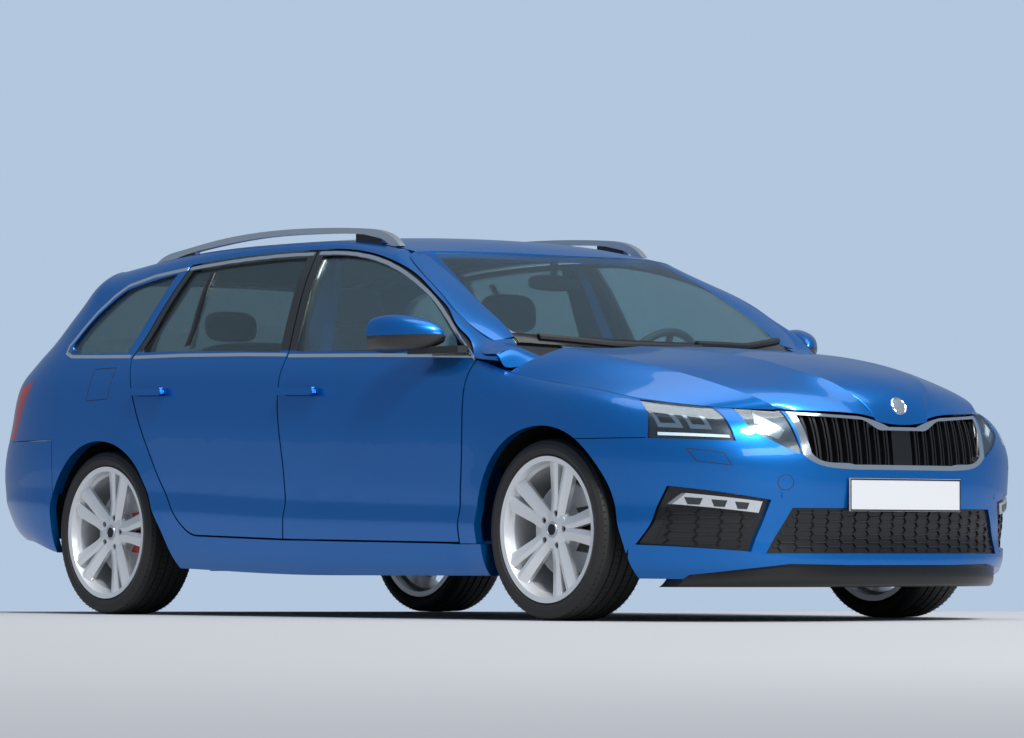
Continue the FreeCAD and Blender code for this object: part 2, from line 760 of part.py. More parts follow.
# Grilles: a framed upper one with upright slats, and meshes below
grille_rim_line = grille_line[1:4] + [
    [(425, 566), (441.5, 714)],
    [(441.5, 714), (325, 707), (192, 700)],
    [(192, 700), (150, 692), (112, 682), (64, 665)],
    [(64, 665), (-64, 665)],
    [(-64, 665), (-112, 682), (-150, 692), (-192, 700)],
    [(-192, 700), (-325, 707), (-441.5, 714)],
    [(-441.5, 714), (-425, 566)],
]
grille_rim = largest(front_slab.common(front_cut(grille_rim_line, -seat)).cut(front_cut(grille_hole_line, 0)))
grille_hole = front_cut(grille_hole_line, -seat)
slats = [block(-44, 44, -960, -600, 500, 800)]
for number in range(9):
    for x, half in ((66 + 41 * number, 4), (79 + 41 * number, 2.5)):
        slats += [block(x - half, x + half, -960, -600, 500, 800), block(-x - half, -x + half, -960, -600, 500, 800)]
slat_slab = slab(nose_columns(13), nose_columns(41)).common(grille_hole)
grille_back = slab(nose_columns(40), nose_columns(60)).common(grille_hole)
grille_back = grille_back.multiFuse([slat_slab.common(slat) for slat in slats])
lower_mesh = largest(front_deep.common(front_cut(lower_intake_line, -seat)))
side_slab_shallow = slab(nose_columns(14), nose_columns(50))
side_mesh = side_slab_shallow.common(front_cut(side_intake_line, -seat)).cut(front_cut(fog_lamp_line, seat))
side_mesh = largest(trimmed(side_mesh))


def lip_columns(depth):
    right = []
    for fraction in corner_fractions[:9]:
        column = []
        for z, inset in ((118, 62), (134, 36), (160, 32), (215, 24)):
            reach = front_overhang - inset - depth
            column.append(((half_width - 67 - depth) * fraction, -reach * superellipse(fraction, 2.6), z))
        right.append(column)
    left = [[(-x, station, z) for x, station, z in column] for column in reversed(right[1:])]
    return to_spots(left + right)


lip = largest(slab(lip_columns(0), lip_columns(40)).common(front_cut(lip_line, -seat)))
fog_lamp = largest(front_slab.common(front_cut(fog_lamp_line, 0)))
keep("grille_frame", grille_rim)
keep("grilles", Part.makeCompound([grille_back, lower_mesh, side_mesh, mirrored(side_mesh), lip]))
keep("fog_lamps", both_sides(fog_lamp))
print("front ready")

hood = slab(hood_columns(0), hood_columns(size("hood_depth")), hood_creases)
hood_axis = spot(0, 235, 880)
for x in (-600, 600):
    hood = hood.fuse(block(x - 6, x + 6, 190, 245, 872, 930)).fuse(block(x - 6, x + 6, 100, 205, 900, 935))
    hood = hood.fuse(Part.makeCylinder(6, 60, hood_axis + Vector(x - 30, 0, 0), Vector(1, 0, 0)))
hood = largest(hood)
keep("hood", hood)

# Windscreen, roof and their edges
roof_centre_line = [(900, 1322), (930, 1335), (1080, 1380), (1250, 1405), (1450, 1421), (1700, 1429), (2100, 1428),
                    (2500, 1412), (2800, 1384), (3010, 1352)]
roof_half = 600.0
roof_front = 930.0
roof_front_sweep = 150.0
roof_back = 3010.0
screen_foot = 235.0


def roof_height(fraction, station):
    centre = smooth(roof_centre_line, station)
    edge = smooth(rail_height_line, max(station, 1119)) + 2
    if station < 1119:
        edge = centre - (smooth(roof_centre_line, 1119) - smooth(rail_height_line, 1119)) + 2
    flatness = smooth([(1200, 2.2), (2300, 2.6), (3010, 5.0)], station)
    return centre - (centre - edge) * abs(fraction) ** flatness


def roof_columns(depth):
    columns = []
    for step in range(-5, 6):
        fraction = step / 5.0
        start = roof_front + roof_front_sweep * fraction ** 2 + 4
        column = []
        for share in (0, 0.06, 0.14, 0.25, 0.38, 0.52, 0.66, 0.8, 0.92, 1.0):
            station = start + share * (roof_back - start)
            x = fraction * (roof_half - 0.2 * depth)
            column.append((x, station, roof_height(fraction, station) - depth))
        columns.append(column)
    return to_spots(columns)


roof = slab(roof_columns(0), roof_columns(size("roof_depth")))


def screen_columns(depth):
    columns = []
    for step in range(-4, 5):
        fraction = step / 4.0
        foot = (699 * fraction, screen_foot + 235 * fraction ** 2, 957 + 30 * fraction ** 2)
        head_station = roof_front + roof_front_sweep * fraction ** 2
        head = (602 * fraction, head_station, roof_height(fraction, head_station + 4) - 3)
        column = []
        for share in (0, 0.25, 0.5, 0.75, 1.0):
            crown = 88 * share * (1 - share)
            x = foot[0] + share * (head[0] - foot[0])
            station = foot[1] + share * (head[1] - foot[1]) - 0.45 * crown + 0.45 * depth
            z = foot[2] + share * (head[2] - foot[2]) + 0.89 * crown - 0.89 * depth
            column.append((x, station, z))
        columns.append(column)
    return to_spots(columns)


windscreen = slab(screen_columns(0), screen_columns(size("glass_thickness")))
windscreen = windscreen.cut(pillar).cut(mirrored(pillar))
keep("windscreen", largest(windscreen))
print("top ready")

# Tailgate: cut from a net that wraps the whole tail, with a spoiler over its glass


def whole_tail_columns(depth):
    right = [tail_column(fraction, depth) for fraction in corner_fractions]
    right += [side_column(station, depth) + upper_column(station, depth) for station in (2900, 2800)]
    left = [[(-x, station, z) for x, station, z in column] for column in reversed(right[1:])]
    return to_spots(left + right)


spoiler_top = [(3020, 1346), (3055, 1345), (3105, 1340), (3150, 1332), (3186, 1321)]
spoiler_low = [(3020, 1326), (3055, 1320), (3105, 1312), (3150, 1310), (3183, 1314)]
spoiler_half = 560.0


def spoiler_columns(rows):
    columns = []
    for step in range(-5, 6):
        fraction = step / 5.0
        drop = 15 * abs(fraction) ** 4
        sweep = 60 * abs(fraction) ** 3
        columns.append([
            (fraction * spoiler_half, station - sweep * k / (len(rows) - 1.0), z - drop)
            for k, (station, z) in enumerate(rows)])
    return to_spots(columns)


tail_skin = slab(whole_tail_columns(0), whole_tail_columns(45))
rear_glass_line = [
    [(-600, 1035), (0, 1015), (600, 1035)],
    [(600, 1035), (545, 1290)],
    [(545, 1290), (0, 1305), (-545, 1290)],
    [(-545, 1290), (-600, 1035)],
]
gate_gap = gap / 2 + 4.5
tailgate = tail_skin.common(front_prism(grown(tailgate_line, -gate_gap), 2975, 4200))
tailgate = tailgate.cut(front_prism(rear_glass_line, 2900, 4200))
gate_lamp_line = polygon([(470, 880), (480, 790), (640, 700), (760, 700), (760, 850)])
gate_lamp = tail_skin.common(front_prism(grown(tailgate_line, -gate_gap), 2975, 4200))
gate_lamp = largest(gate_lamp.common(front_prism(grown(gate_lamp_line, -seat), 2975, 4200)))
gate_lamp_cut = front_prism(gate_lamp_line, 2975, 4200)
tailgate = tailgate.cut(gate_lamp_cut).cut(mirrored(gate_lamp_cut))
keep("tailgate_lamps", both_sides(gate_lamp))
tailgate = tailgate.cut(block(-700, 700, 2900, 3300, 1330, 1500)).cut(block(-700, 700, 2900, 3022, 1000, 1500))
spoiler = slab(spoiler_columns(spoiler_top), spoiler_columns(spoiler_low))
tailgate = tailgate.fuse(spoiler)
lift_axis = spot(0, 3040, 1331)
lift_arms = []
for x in (-450, 450):
    tailgate = tailgate.cut(block(x - 21, x + 21, 3000, 3057, 1280, 1400))
    tailgate = tailgate.fuse(Part.makeCylinder(5, 66, lift_axis + Vector(x - 33, 0, 0), Vector(1, 0, 0)))
    eye = Part.makeCylinder(9, 30, lift_axis + Vector(x - 15, 0, 0), Vector(1, 0, 0))
    bore = Part.makeCylinder(5.05, 40, lift_axis + Vector(x - 20, 0, 0), Vector(1, 0, 0))
    lift_arms.append(block(x - 15, x + 15, 2960, 3040, 1322, 1340).fuse(eye).cut(bore))
keep("roof_panel", roof.multiFuse(lift_arms))
keep("tailgate", largest(tailgate))
rear_glass_slab = slab(whole_tail_columns(6), whole_tail_columns(11))
rear_glass = largest(rear_glass_slab.common(front_prism(grown(rear_glass_line, -seat), 2900, 4200)))
keep("tailgate_glass", rear_glass)

# Rear bumper and lamps
rear_slab = slab(tail_columns(0), tail_columns(size("bumper_depth")))
rear_seam = polygon([(2740, 60), (2740, rear_bumper_top - 3), (3900, rear_bumper_top - 3), (3900, 60)])
rear_bumper = rear_slab.common(side_prism(rear_seam, -1000, 1000)).cut(side_prism(rear_arch_line, -1000, 1000))
rear_bumper = rear_bumper.cut(block(-1000, 1000, 2600, 3003, 60, 900))
rear_bumper = largest(rear_bumper).cut(block(-261, 261, 3796, 3900, 469, 583))
rear_bumper = rear_bumper.fuse(block(-520, 520, 3574.3, 3700, 400, 450))
keep("rear_bumper", rear_bumper)
print("rear ready", len(rear_bumper.Solids))


def bound(kind, name, sizes, place):
    """A document primitive whose sizes are expressions on the sheet."""
    item = doc.addObject(kind, name)
    for property_name, expression in sizes.items():
        item.setExpression(property_name, expression)
    item.Placement = place
    return item


def keep_item(item, label):
    item.Label = label
    pieces.append(item)
    return item


def ring(points):
    """A solid of revolution about the x axis from (x, radius) points."""
    wire = Part.makePolygon([Vector(x, radius, 0) for x, radius in points + [points[0]]])
    return Part.Face(wire).revolve(Vector(0, 0, 0), Vector(1, 0, 0), 360)


def rod(start, end, radius):
    return Part.makeCylinder(radius, (end - start).Length, start, end - start)


def joined(shapes):
    whole = shapes[0].multiFuse(shapes[1:]) if len(shapes) > 1 else shapes[0]
    return whole


# Wheels, built for the right side with the outer face towards minus x
track = size("track_half")
tyre_radius = size("tyre_radius")
rim_radius = size("rim_radius")
half_tread = size("tyre_width") / 2.0
bead_radius = rim_radius - 12
spindle_radius = 32.0
running = 0.05
spoke_turn = 15.8


def tyre_shape():
    half_section = [
        (90, bead_radius), (97, bead_radius + 14), (106, bead_radius + 22), (half_tread, bead_radius + 38),
        (half_tread - 3, tyre_radius - 22), (half_tread - 12, tyre_radius - 8), (half_tread - 28, tyre_radius - 1.5)]
    section = half_section + [(0, tyre_radius)] + [(-x, radius) for x, radius in reversed(half_section)]
    body = ring(section)
    grooves = []
    for x in (-52, -18, 18, 52):
        grooves.append(ring([(x - 4, tyre_radius - 7), (x + 4, tyre_radius - 7), (x + 4, tyre_radius + 5),
                             (x - 4, tyre_radius + 5)]))
    return body.cut(grooves[0].multiFuse(grooves[1:]))


def spoke_pair():
    """Two folded spokes that part from one root, with their ridge lines along the middle."""
    sections = []
    for radius, inner, ridge, outer, x_inner, x_ridge, x_outer, x_back in (
            (40, -2, 12, 36, -70, -74, -64, -44), (108, -1, 14, 44, -76, -80, -68, -48),
            (243, 17, 36, 72, -92, -98, -86, -62)):
        points = [(inner, x_back), (inner, x_inner), (ridge, x_ridge), (outer, x_outer), (outer - 5, x_back)]
        sections.append(Part.makePolygon([Vector(x, t, radius) for t, x in points + points[:1]]))
    arm = Part.makeLoft(sections, True, True)
    arm = arm.common(Part.makeCylinder(bead_radius - 4, 200, Vector(-120, 0, 0), Vector(1, 0, 0)))
    return [arm, arm.mirror(Vector(0, 0, 0), Vector(0, 1, 0))]


def rim_shape():
    barrel = ring([
        (-103, rim_radius), (-97.5, rim_radius), (-91, bead_radius - 0.3), (-80, bead_radius - 0.3),
        (-70, bead_radius - 14), (60, bead_radius - 14), (70, bead_radius - 0.3), (91, bead_radius - 0.3),
        (97.5, rim_radius), (103, rim_radius), (103, bead_radius - 8), (72, bead_radius - 9),
        (62, bead_radius - 22), (-66, bead_radius - 22), (-78, bead_radius - 14), (-100, bead_radius - 6)])
    hub = ring([(-76, 0), (-76, 30), (-70, 66), (-52, 78), (-42, 78), (-42, 0)])
    disc = ring([(-42.5, 0), (-42.5, 75), (-14, 75), (-14, size("disc_radius")),
                 (-14 + size("disc_thickness"), size("disc_radius")), (-14 + size("disc_thickness"), 62),
                 (-34, 62), (-34, 0)])
    spindle = ring([(-36, 0), (-36, spindle_radius), (78, spindle_radius), (78, 0)])
    spokes = []
    for number in range(5):
        for arm in spoke_pair():
            arm = arm.copy()
            arm.rotate(Vector(0, 0, 0), Vector(1, 0, 0), 72.0 * number)
            spokes.append(arm)
    bolts = []
    for number in range(5):
        bolt = Part.makeCylinder(11, 40, Vector(-92, 0, 58), Vector(1, 0, 0))
        bolt.rotate(Vector(0, 0, 0), Vector(1, 0, 0), 72.0 * number)
        bolts.append(bolt)
    return barrel.multiFuse([hub, disc, spindle] + spokes).cut(bolts[0].multiFuse(bolts[1:]))


tyre = tyre_shape()
rim = rim_shape()
for end, station in (("front", 0), ("rear", wheel_base)):
    for shape, label in ((tyre, "tyre"), (rim, "rim")):
        placed = shape.copy()
        placed.rotate(Vector(0, 0, 0), Vector(1, 0, 0), spoke_turn)
        placed.translate(spot(-track, station, hub_height))
        keep("%s_%s_right" % (label, end), placed)
        keep("%s_%s_left" % (label, end), mirrored(placed))

# Front knuckles turn about an axis that leans inwards at the top
pivot_low = Vector(-675, axle_y, 196)
pivot_top = Vector(-553, axle_y, 850)
lean = (pivot_top - pivot_low).normalize()


def on_pivot(distance):
    return pivot_low + lean * distance


hub_centre = spot(-track, 0, hub_height)


def caliper(radius, turn):
    """A brake caliper that straddles the disc, turned about the wheel's axis."""
    outer = ring([(-34, radius - 58), (-34, radius + 12), (38, radius + 12), (38, radius - 58)])
    slot = ring([(-18, 0), (-18, radius + 3.5), (-10 + size("disc_thickness"), radius + 3.5),
                 (-10 + size("disc_thickness"), 0)])
    wedge = polygon([(-72, 60), (-92, 240), (92, 240), (72, 60)])
    face = face_of(wedge, lambda a, b: Vector(-100, a, b)).extrude(Vector(200, 0, 0))
    shape = outer.cut(slot).common(face)
    shape.rotate(Vector(0, 0, 0), Vector(1, 0, 0), turn)
    return shape


def carrier():
    boss = ring([(14, spindle_radius + running), (14, 58), (74, 58), (74, spindle_radius + running)])
    return boss


knuckle_parts = [carrier()]
knuckle_parts[0].translate(hub_centre)
low_boss = rod(on_pivot(8), on_pivot(40), 22)
top_boss = rod(on_pivot(300), on_pivot(370), 32)


def plate_at(x_out, x_in, half, z):
    return Part.makePolygon([Vector(x_out, axle_y - half, z), Vector(x_out, axle_y + half, z),
                             Vector(x_in, axle_y + half, z), Vector(x_in, axle_y - half, z),
                             Vector(x_out, axle_y - half, z)])


upright = Part.makeLoft([plate_at(-726, -696, 24, 345), plate_at(-640, -610, 20, 505)], True)
lower_link = block(-716, -676, -20, 20, 215, 275)
caliper_arm = block(-748, -714, -130, -30, 295, 335)
front_caliper = caliper(size("disc_radius"), 90)
front_caliper.translate(hub_centre)
knuckle = knuckle_parts[0].multiFuse([low_boss, top_boss, upright, lower_link, caliper_arm, front_caliper])
spindle_hole = rod(hub_centre + Vector(0, 0, 0), hub_centre + Vector(90, 0, 0), spindle_radius + running)
strut_hole = rod(on_pivot(290), on_pivot(400), 25.05)
ball_hole = rod(on_pivot(0), on_pivot(28), 11.05)
knuckle = knuckle.cut(spindle_hole).cut(strut_hole).cut(ball_hole)
keep("knuckle_right", knuckle)
keep("knuckle_left", mirrored(knuckle))

# Front struts stand on the knuckles' steering axis, with their springs
strut = rod(on_pivot(300), on_pivot(430), 25).fuse(rod(on_pivot(430), on_pivot(640), 22))
seat_low = rod(on_pivot(455), on_pivot(463), 72)
seat_high = rod(on_pivot(610), on_pivot(660), 78)
spring = rod(on_pivot(463), on_pivot(610), 58).cut(rod(on_pivot(460), on_pivot(612), 46))
strut = strut.multiFuse([seat_low, seat_high, spring])
keep("front_struts", both_sides(strut))

# Lower arms and subframe under the engine
ball_pin = rod(on_pivot(-14), on_pivot(27), 11)
arm = Part.makeLoft([
    Part.makePolygon([Vector(-700, axle_y - 22, 166), Vector(-700, axle_y + 22, 166), Vector(-700, axle_y + 22, 192),
                      Vector(-700, axle_y - 22, 192), Vector(-700, axle_y - 22, 166)]),
    Part.makePolygon([Vector(-395, axle_y - 30, 190), Vector(-395, axle_y + 150, 190),
                      Vector(-395, axle_y + 150, 226), Vector(-395, axle_y - 30, 226),
                      Vector(-395, axle_y - 30, 190)]),
], True)
arms = joined([arm, mirrored(arm), ball_pin, mirrored(ball_pin), block(-400, 400, -40, 270, 180, 240),
               block(-60, 60, -30, 30, 235, 284.7)])
keep("front_subframe", arms)

# Rear axle: a cross beam with trailing arms, stub carriers, springs and calipers
rear_hub = spot(-track, wheel_base, hub_height)
rear_carrier = carrier()
rear_carrier.translate(rear_hub)
stub_plate = Part.makeBox(22, 170, 150, rear_hub + Vector(52, -120, -75))
trailing_arm = block(-648, -601, wheel_base - 430, wheel_base - 60, 268, 330)
arm_bridge = block(-700, -640, wheel_base - 110, wheel_base - 60, 275, 325)
caliper_bridge = block(-729.7, -694, wheel_base - 150, wheel_base - 90, 290, 340)
cross_beam = block(-640, 640, wheel_base - 260, wheel_base - 190, 275, 325)
spring_seat = Part.makeCylinder(62, 12, spot(-520, wheel_base - 225, 324))
coil = Part.makeCylinder(52, 65, spot(-520, wheel_base - 225, 334.7))
damper = rod(spot(-626, wheel_base - 120, 310), spot(-624, wheel_base - 60, 680), 20)
rear_caliper = caliper(size("disc_radius"), 90)
rear_caliper.translate(rear_hub)
rear_bore = rod(rear_hub, rear_hub + Vector(100, 0, 0), spindle_radius + running)
half_axle = joined([rear_carrier, stub_plate, trailing_arm, arm_bridge, caliper_bridge, spring_seat, coil,
                    damper]).cut(rear_bore)
rear_axle = joined([cross_beam, half_axle, mirrored(half_axle)])
rear_axle = rear_axle.cut(rear_bore).cut(mirrored(rear_bore))
keep("rear_axle", rear_axle)
keep("rear_calipers", both_sides(rear_caliper.cut(stub_plate)))

# Floor, firewall, wheelhouses and end panels in one welded tub
floor_top = size("floor_top")
floor_low = floor_top - size("floor_thickness")
tub_half = size("post_face_x") - 10.3
floor = block(-tub_half, tub_half, 345, 2260, floor_low, floor_top)
tunnel = block(-130, 130, 345, 2260, floor_top - 1, 310)
tunnel_channel = block(-100, 100, 300, 2300, floor_low - 5, 285)
firewall = block(-tub_half, tub_half, 330, 346, floor_low, 880)
plenum = block(-690, 690, 205, 331, 830, 842)
hood_brackets = []
for x in (-624, -588, 576, 612):
    plate = block(x, x + 12, 215, 255, 840, 880).fuse(
        Part.makeCylinder(20, 12, hood_axis + Vector(x, 0, 0), Vector(1, 0, 0)))
    hood_brackets.append(plate.cut(Part.makeCylinder(6.05, 20, hood_axis + Vector(x - 4, 0, 0), Vector(1, 0, 0))))
heel = block(-590, 590, 2250, 2268, floor_low, 430)
rear_floor = block(-598, 598, 2260, 3440, 400, 431).fuse(block(-570, 570, 3439, 3565, 400, 431))
end_panel = block(-570, 570, 3560, 3574, 330, 660)
rail = block(-449, -385, -669.7, 335, 400, 490)
nose_beam = block(-449, 449, -669.7, -620, 400, 490)
engine_rest = block(-400, -310.3, -200, -120, 440, 480)


def wheelhouse(station, radius, x_wall, x_out):
    ring_shape = ring([(x_wall, radius), (x_wall, radius + 6), (x_out, radius + 6), (x_out, radius)])
    wall = Part.makeCylinder(radius + 6, 6, Vector(x_wall, 0, 0), Vector(1, 0, 0))
    house = ring_shape.fuse(wall)
    house.translate(spot(0, station, hub_height))
    return house


front_house = wheelhouse(0, 396, -455, -835).cut(block(-900, -400, -600, 600, -200, 262))
rear_house = wheelhouse(wheel_base, 390, -600, -835).cut(block(-900, -400, 2000, 3300, -200, 300))
rear_house = rear_house.cut(block(-652, -590, 2200, 2500, 290, 334))
strut_tower = rod(on_pivot(470), on_pivot(672), 92)
strut_room = rod(on_pivot(380), on_pivot(660.4), 84)
front_house = front_house.fuse(strut_tower).cut(strut_room)
front_house = front_house.cut(rod(on_pivot(300), on_pivot(480), 92).common(
    Part.makeCylinder(396, 600, spot(-1000, 0, hub_height), Vector(1, 0, 0))))
tub = joined([floor, tunnel, heel, rear_floor, end_panel]).cut(tunnel_channel)
kick_room = block(-tub_half - 5, -546.5, 320, 404, floor_low - 5, 660)
kick_low = floor_top + seat
kick_panel = joined([block(-546.5, -540, 331, 410, kick_low, 666), block(-tub_half, -540, 404, 410, kick_low, 666),
                     block(-tub_half, -540, 331, 410, 660, 666)])
tub = tub.cut(kick_room).cut(mirrored(kick_room))
keep("floor_pan", tub)
firewall = firewall.cut(kick_room).cut(mirrored(kick_room)).multiFuse([kick_panel, mirrored(kick_panel)])
bulkhead = joined([firewall, plenum] + hood_brackets)
bulkhead = bulkhead.cut(block(-tub_half - 5, tub_half + 5, 325, 350, floor_low - 5, floor_top + seat))
bulkhead = bulkhead.cut(block(-130.3, 130.3, 325, 350, floor_low - 5, 310.3))
keep("firewall", bulkhead)
engine_bay = joined([rail, mirrored(rail), nose_beam, engine_rest, mirrored(engine_rest), front_house,
                     mirrored(front_house)])
engine_bay = engine_bay.cut(block(-900, 900, 329.7, 420, -100, 1000)).cut(block(-900, 900, 200, 340, 829, 850))
keep("engine_bay", engine_bay)
keep("rear_wheelhouses", both_sides(rear_house.cut(block(-598.3, 0, 2200, 3200, 399, 432))))

radiator = block(-330, 330, -700, -670, 280, 680)
slam_panel = block(-330, 330, -700, -640, 640, 680)
keep("radiator_support", radiator.fuse(slam_panel))
engine = bound("Part::Box", "engine_block", {
    "Length": "Sizes.engine_width", "Width": "Sizes.engine_length", "Height": "Sizes.engine_height"},
    Placement(spot(-size("engine_width") / 2, -440, 285), Rotation()))
keep_item(engine, "engine_block")

# Underbody tray and exhaust
keep("undertray", joined([block(-474, 474, -690, -60, 152, 164), block(-380, 380, -61, 100, 152, 164),
                          block(-380, 380, -20, 100, 163, 179.7)]))
pipe = joined([rod(spot(0, 275.3, 218), spot(0, 2330, 218), 28),
               rod(spot(0, 2325, 218), spot(420, 3130, 240), 26),
               block(300, 640, 3120, 3480, 195, 282), block(-15, 15, 1000, 1040, 240, 284.7),
               block(-15, 15, 2180, 2220, 240, 284.7), rod(spot(560, 3470, 245), spot(560, 3640, 240), 34)])
keep("exhaust", pipe)

# Cabin
seat_half = 238


def front_seat(x):
    cushion = block(x - seat_half, x + seat_half, 1050, 1560, 430, 560)
    back = Part.makeLoft([
        Part.makePolygon([spot(x - 240, 1500, 520), spot(x + 240, 1500, 520), spot(x + 240, 1620, 520),
                          spot(x - 240, 1620, 520), spot(x - 240, 1500, 520)]),
        Part.makePolygon([spot(x - 200, 1690, 1080), spot(x + 200, 1690, 1080), spot(x + 200, 1770, 1080),
                          spot(x - 200, 1770, 1080), spot(x - 200, 1690, 1080)])], True)
    head = block(x - 130, x + 130, 1700, 1790, 1079, 1240)
    base = block(x - 200, x + 200, 1100, 1500, floor_top + seat, 431)
    return joined([cushion, back, head, base])


keep("front_seats", Part.makeCompound([front_seat(-376), front_seat(376)]))
bench = block(-590, 590, 1950, 2440, 432, 580)
bench_back = Part.makeLoft([
    Part.makePolygon([spot(-590, 2340, 560), spot(590, 2340, 560), spot(590, 2480, 560), spot(-590, 2480, 560),
                      spot(-590, 2340, 560)]),
    Part.makePolygon([spot(-580, 2510, 1060), spot(580, 2510, 1060), spot(580, 2590, 1060),
                      spot(-580, 2590, 1060), spot(-580, 2510, 1060)])], True)
heads = [block(x - 120, x + 120, 2500, 2590, 1059, 1180) for x in (-370, 370)]
bench_base = block(-590, 590, 1980, 2249, floor_top + seat, 433).cut(block(-130.3, 130.3, 1900, 2300, 200, 310.3))
keep("rear_seat", joined([bench, bench_back, bench_base] + heads))
keep("load_floor", block(-590, 590, 2600, 3555, 550, 565).fuse(block(-590, 590, 2600, 2615, 431.3, 551)).fuse(
    block(-590, 590, 3530, 3545, 431.3, 551)))
dash = block(-685, 685, 346, 620, 700, 925).fuse(block(-130, 130, 346, 1400, 310, 520))
column = rod(spot(370, 560, 760), spot(370, 800, 872), 30)
column_way = (spot(370, 800, 872) - spot(370, 560, 760)).normalize()
column_bore = rod(spot(370, 800, 872) - column_way * 80, spot(370, 800, 872) + column_way * 5, 9.05)
keep("dashboard", dash.fuse(column).cut(column_bore))

# Steering wheel on its shaft
wheel_centre = spot(370, 800, 872) + column_way * 55.2
rim_torus = Part.makeTorus(180, 15, wheel_centre, column_way)
hub_disc = rod(wheel_centre - column_way * 30, wheel_centre + column_way * 5, 62)
spokes = [rod(wheel_centre, wheel_centre + Vector(dx, 0, 0), 13) for dx in (-178, 178)]
spokes.append(rod(wheel_centre, wheel_centre + column_way.cross(Vector(1, 0, 0)) * -178, 13))
steering_shaft = rod(wheel_centre - column_way * 120, wheel_centre, 9)
keep("steering_wheel", joined([rim_torus, hub_disc, steering_shaft] + spokes))

# Roof rails, seen from the side as a long low arch on two feet
rail_outline = [
    [(1178, 1362), (1215, 1392), (1275, 1418), (1409, 1438), (1700, 1453), (2009, 1455), (2380, 1431),
     (2560, 1409), (2680, 1387), (2730, 1362)],
    [(2730, 1362), (2660, 1362)],
    [(2660, 1362), (2560, 1386), (2380, 1409), (2009, 1433), (1700, 1431), (1409, 1416), (1290, 1394),
     (1225, 1362)],
    [(1225, 1362), (1178, 1362)],
]
rail_front_foot = polygon([(1280, 1360), (1290, 1396), (1409, 1420), (1448, 1424), (1448, 1370)])
rail_rear_foot = polygon([(2470, 1360), (2470, 1402), (2560, 1390), (2668, 1364), (2668, 1350)])
roof_rail = side_prism(rail_outline, -598, -570)
roof_rail = roof_rail.fuse(side_prism(rail_front_foot, -595, -573)).fuse(side_prism(rail_rear_foot, -595, -573))
roof_rail = roof_rail.cut(roof)
keep("roof_rails", both_sides(largest(roof_rail)))

# Door mirrors
mirror_sections = [(-868, 565, 660, 972, 1035), (-890, 566, 705, 960, 1062), (-930, 588, 765, 948, 1078),
                   (-970, 628, 805, 948, 1082), (-1000, 683, 824, 958, 1072), (-1014, 735, 828, 975, 1055),
                   (-1020, 765, 826, 995, 1038)]


def mirror_section(x, s0, s1, z0, z1):
    """A closed outline with a rounded front and a flat glass side at the rear."""
    places = [(1.0, 0.96), (0.7, 1.0), (0.3, 0.9), (0.04, 0.66), (0.0, 0.45), (0.06, 0.22), (0.35, 0.04), (1.0, 0.0)]
    points = [spot(x, s0 + a * (s1 - s0), z0 + b * (z1 - z0)) for a, b in places]
    front = Part.BSplineCurve()
    front.interpolate(points)
    return Part.Wire([front.toShape(), Part.makeLine(points[-1], points[0])])


mirror_foot_line = [(-800, 455), (-800, 620), (-880, 690), (-935, 700), (-925, 640), (-895, 570), (-880, 480)]
mirror_foot = Part.Face(Part.makePolygon([spot(x, s, 940) for x, s in mirror_foot_line + mirror_foot_line[:1]]))
mirror_foot = mirror_foot.extrude(Vector(0, 0, 26))
door_seat = front_door.copy()
door_seat.translate(Vector(-seat, 0, 0))
mirror = Part.makeLoft([mirror_section(*values) for values in mirror_sections], True, False).fuse(mirror_foot)
mirror = largest(mirror.cut(door_seat).cut(block(-845, -700, 400, 900, 900, 1100)))
keep("mirror_right", mirror)
keep("mirror_left", mirrored(mirror))

# Cowl, wipers and plates


def cowl_columns(depth):
    columns = []
    for step in range(-5, 6):
        fraction = step / 5.0
        foot_s = screen_foot + 235 * fraction ** 2 - 6
        foot_z = 955 + 30 * fraction ** 2
        front_s = 118 + 70 * fraction ** 4
        columns.append([(700 * fraction, front_s + share * (foot_s - front_s),
                         912 + (foot_z - 922) * share ** 1.5 - 16 * (1 - share) ** 6 - depth) for share in (0, 0.33, 0.66, 1.0)])
    return to_spots(columns)


cowl = slab(cowl_columns(0), cowl_columns(14)).cut(pillar).cut(mirrored(pillar))
for x in (-600, 600):
    cowl = cowl.cut(block(x - 45, x + 45, 60, 300, 800, 1000))
keep("cowl", cowl)
front_plate = block(-260, 260, -881, -875, 376, 488)
rear_plate = block(-260, 260, 3796.3, 3801, 470, 582)
keep("number_plates", Part.makeCompound([front_plate, rear_plate]))
doc.recompute()
os.makedirs("parts", exist_ok=True)
for item in doc.Objects:
    if "Invalid" in item.State or "Error" in item.State:
        raise RuntimeError("failed object " + item.Label)
for piece in pieces:
    if piece.Shape.isNull() or not piece.Shape.isValid():
        raise RuntimeError("bad shape " + piece.Label)
for piece in pieces:
    piece.Shape.exportStep("parts/%s.step" % piece.Label)
print(len(pieces), "pieces written")
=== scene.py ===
import json
import math

import bpy
import bmesh
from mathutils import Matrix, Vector
from mathutils.bvhtree import BVHTree


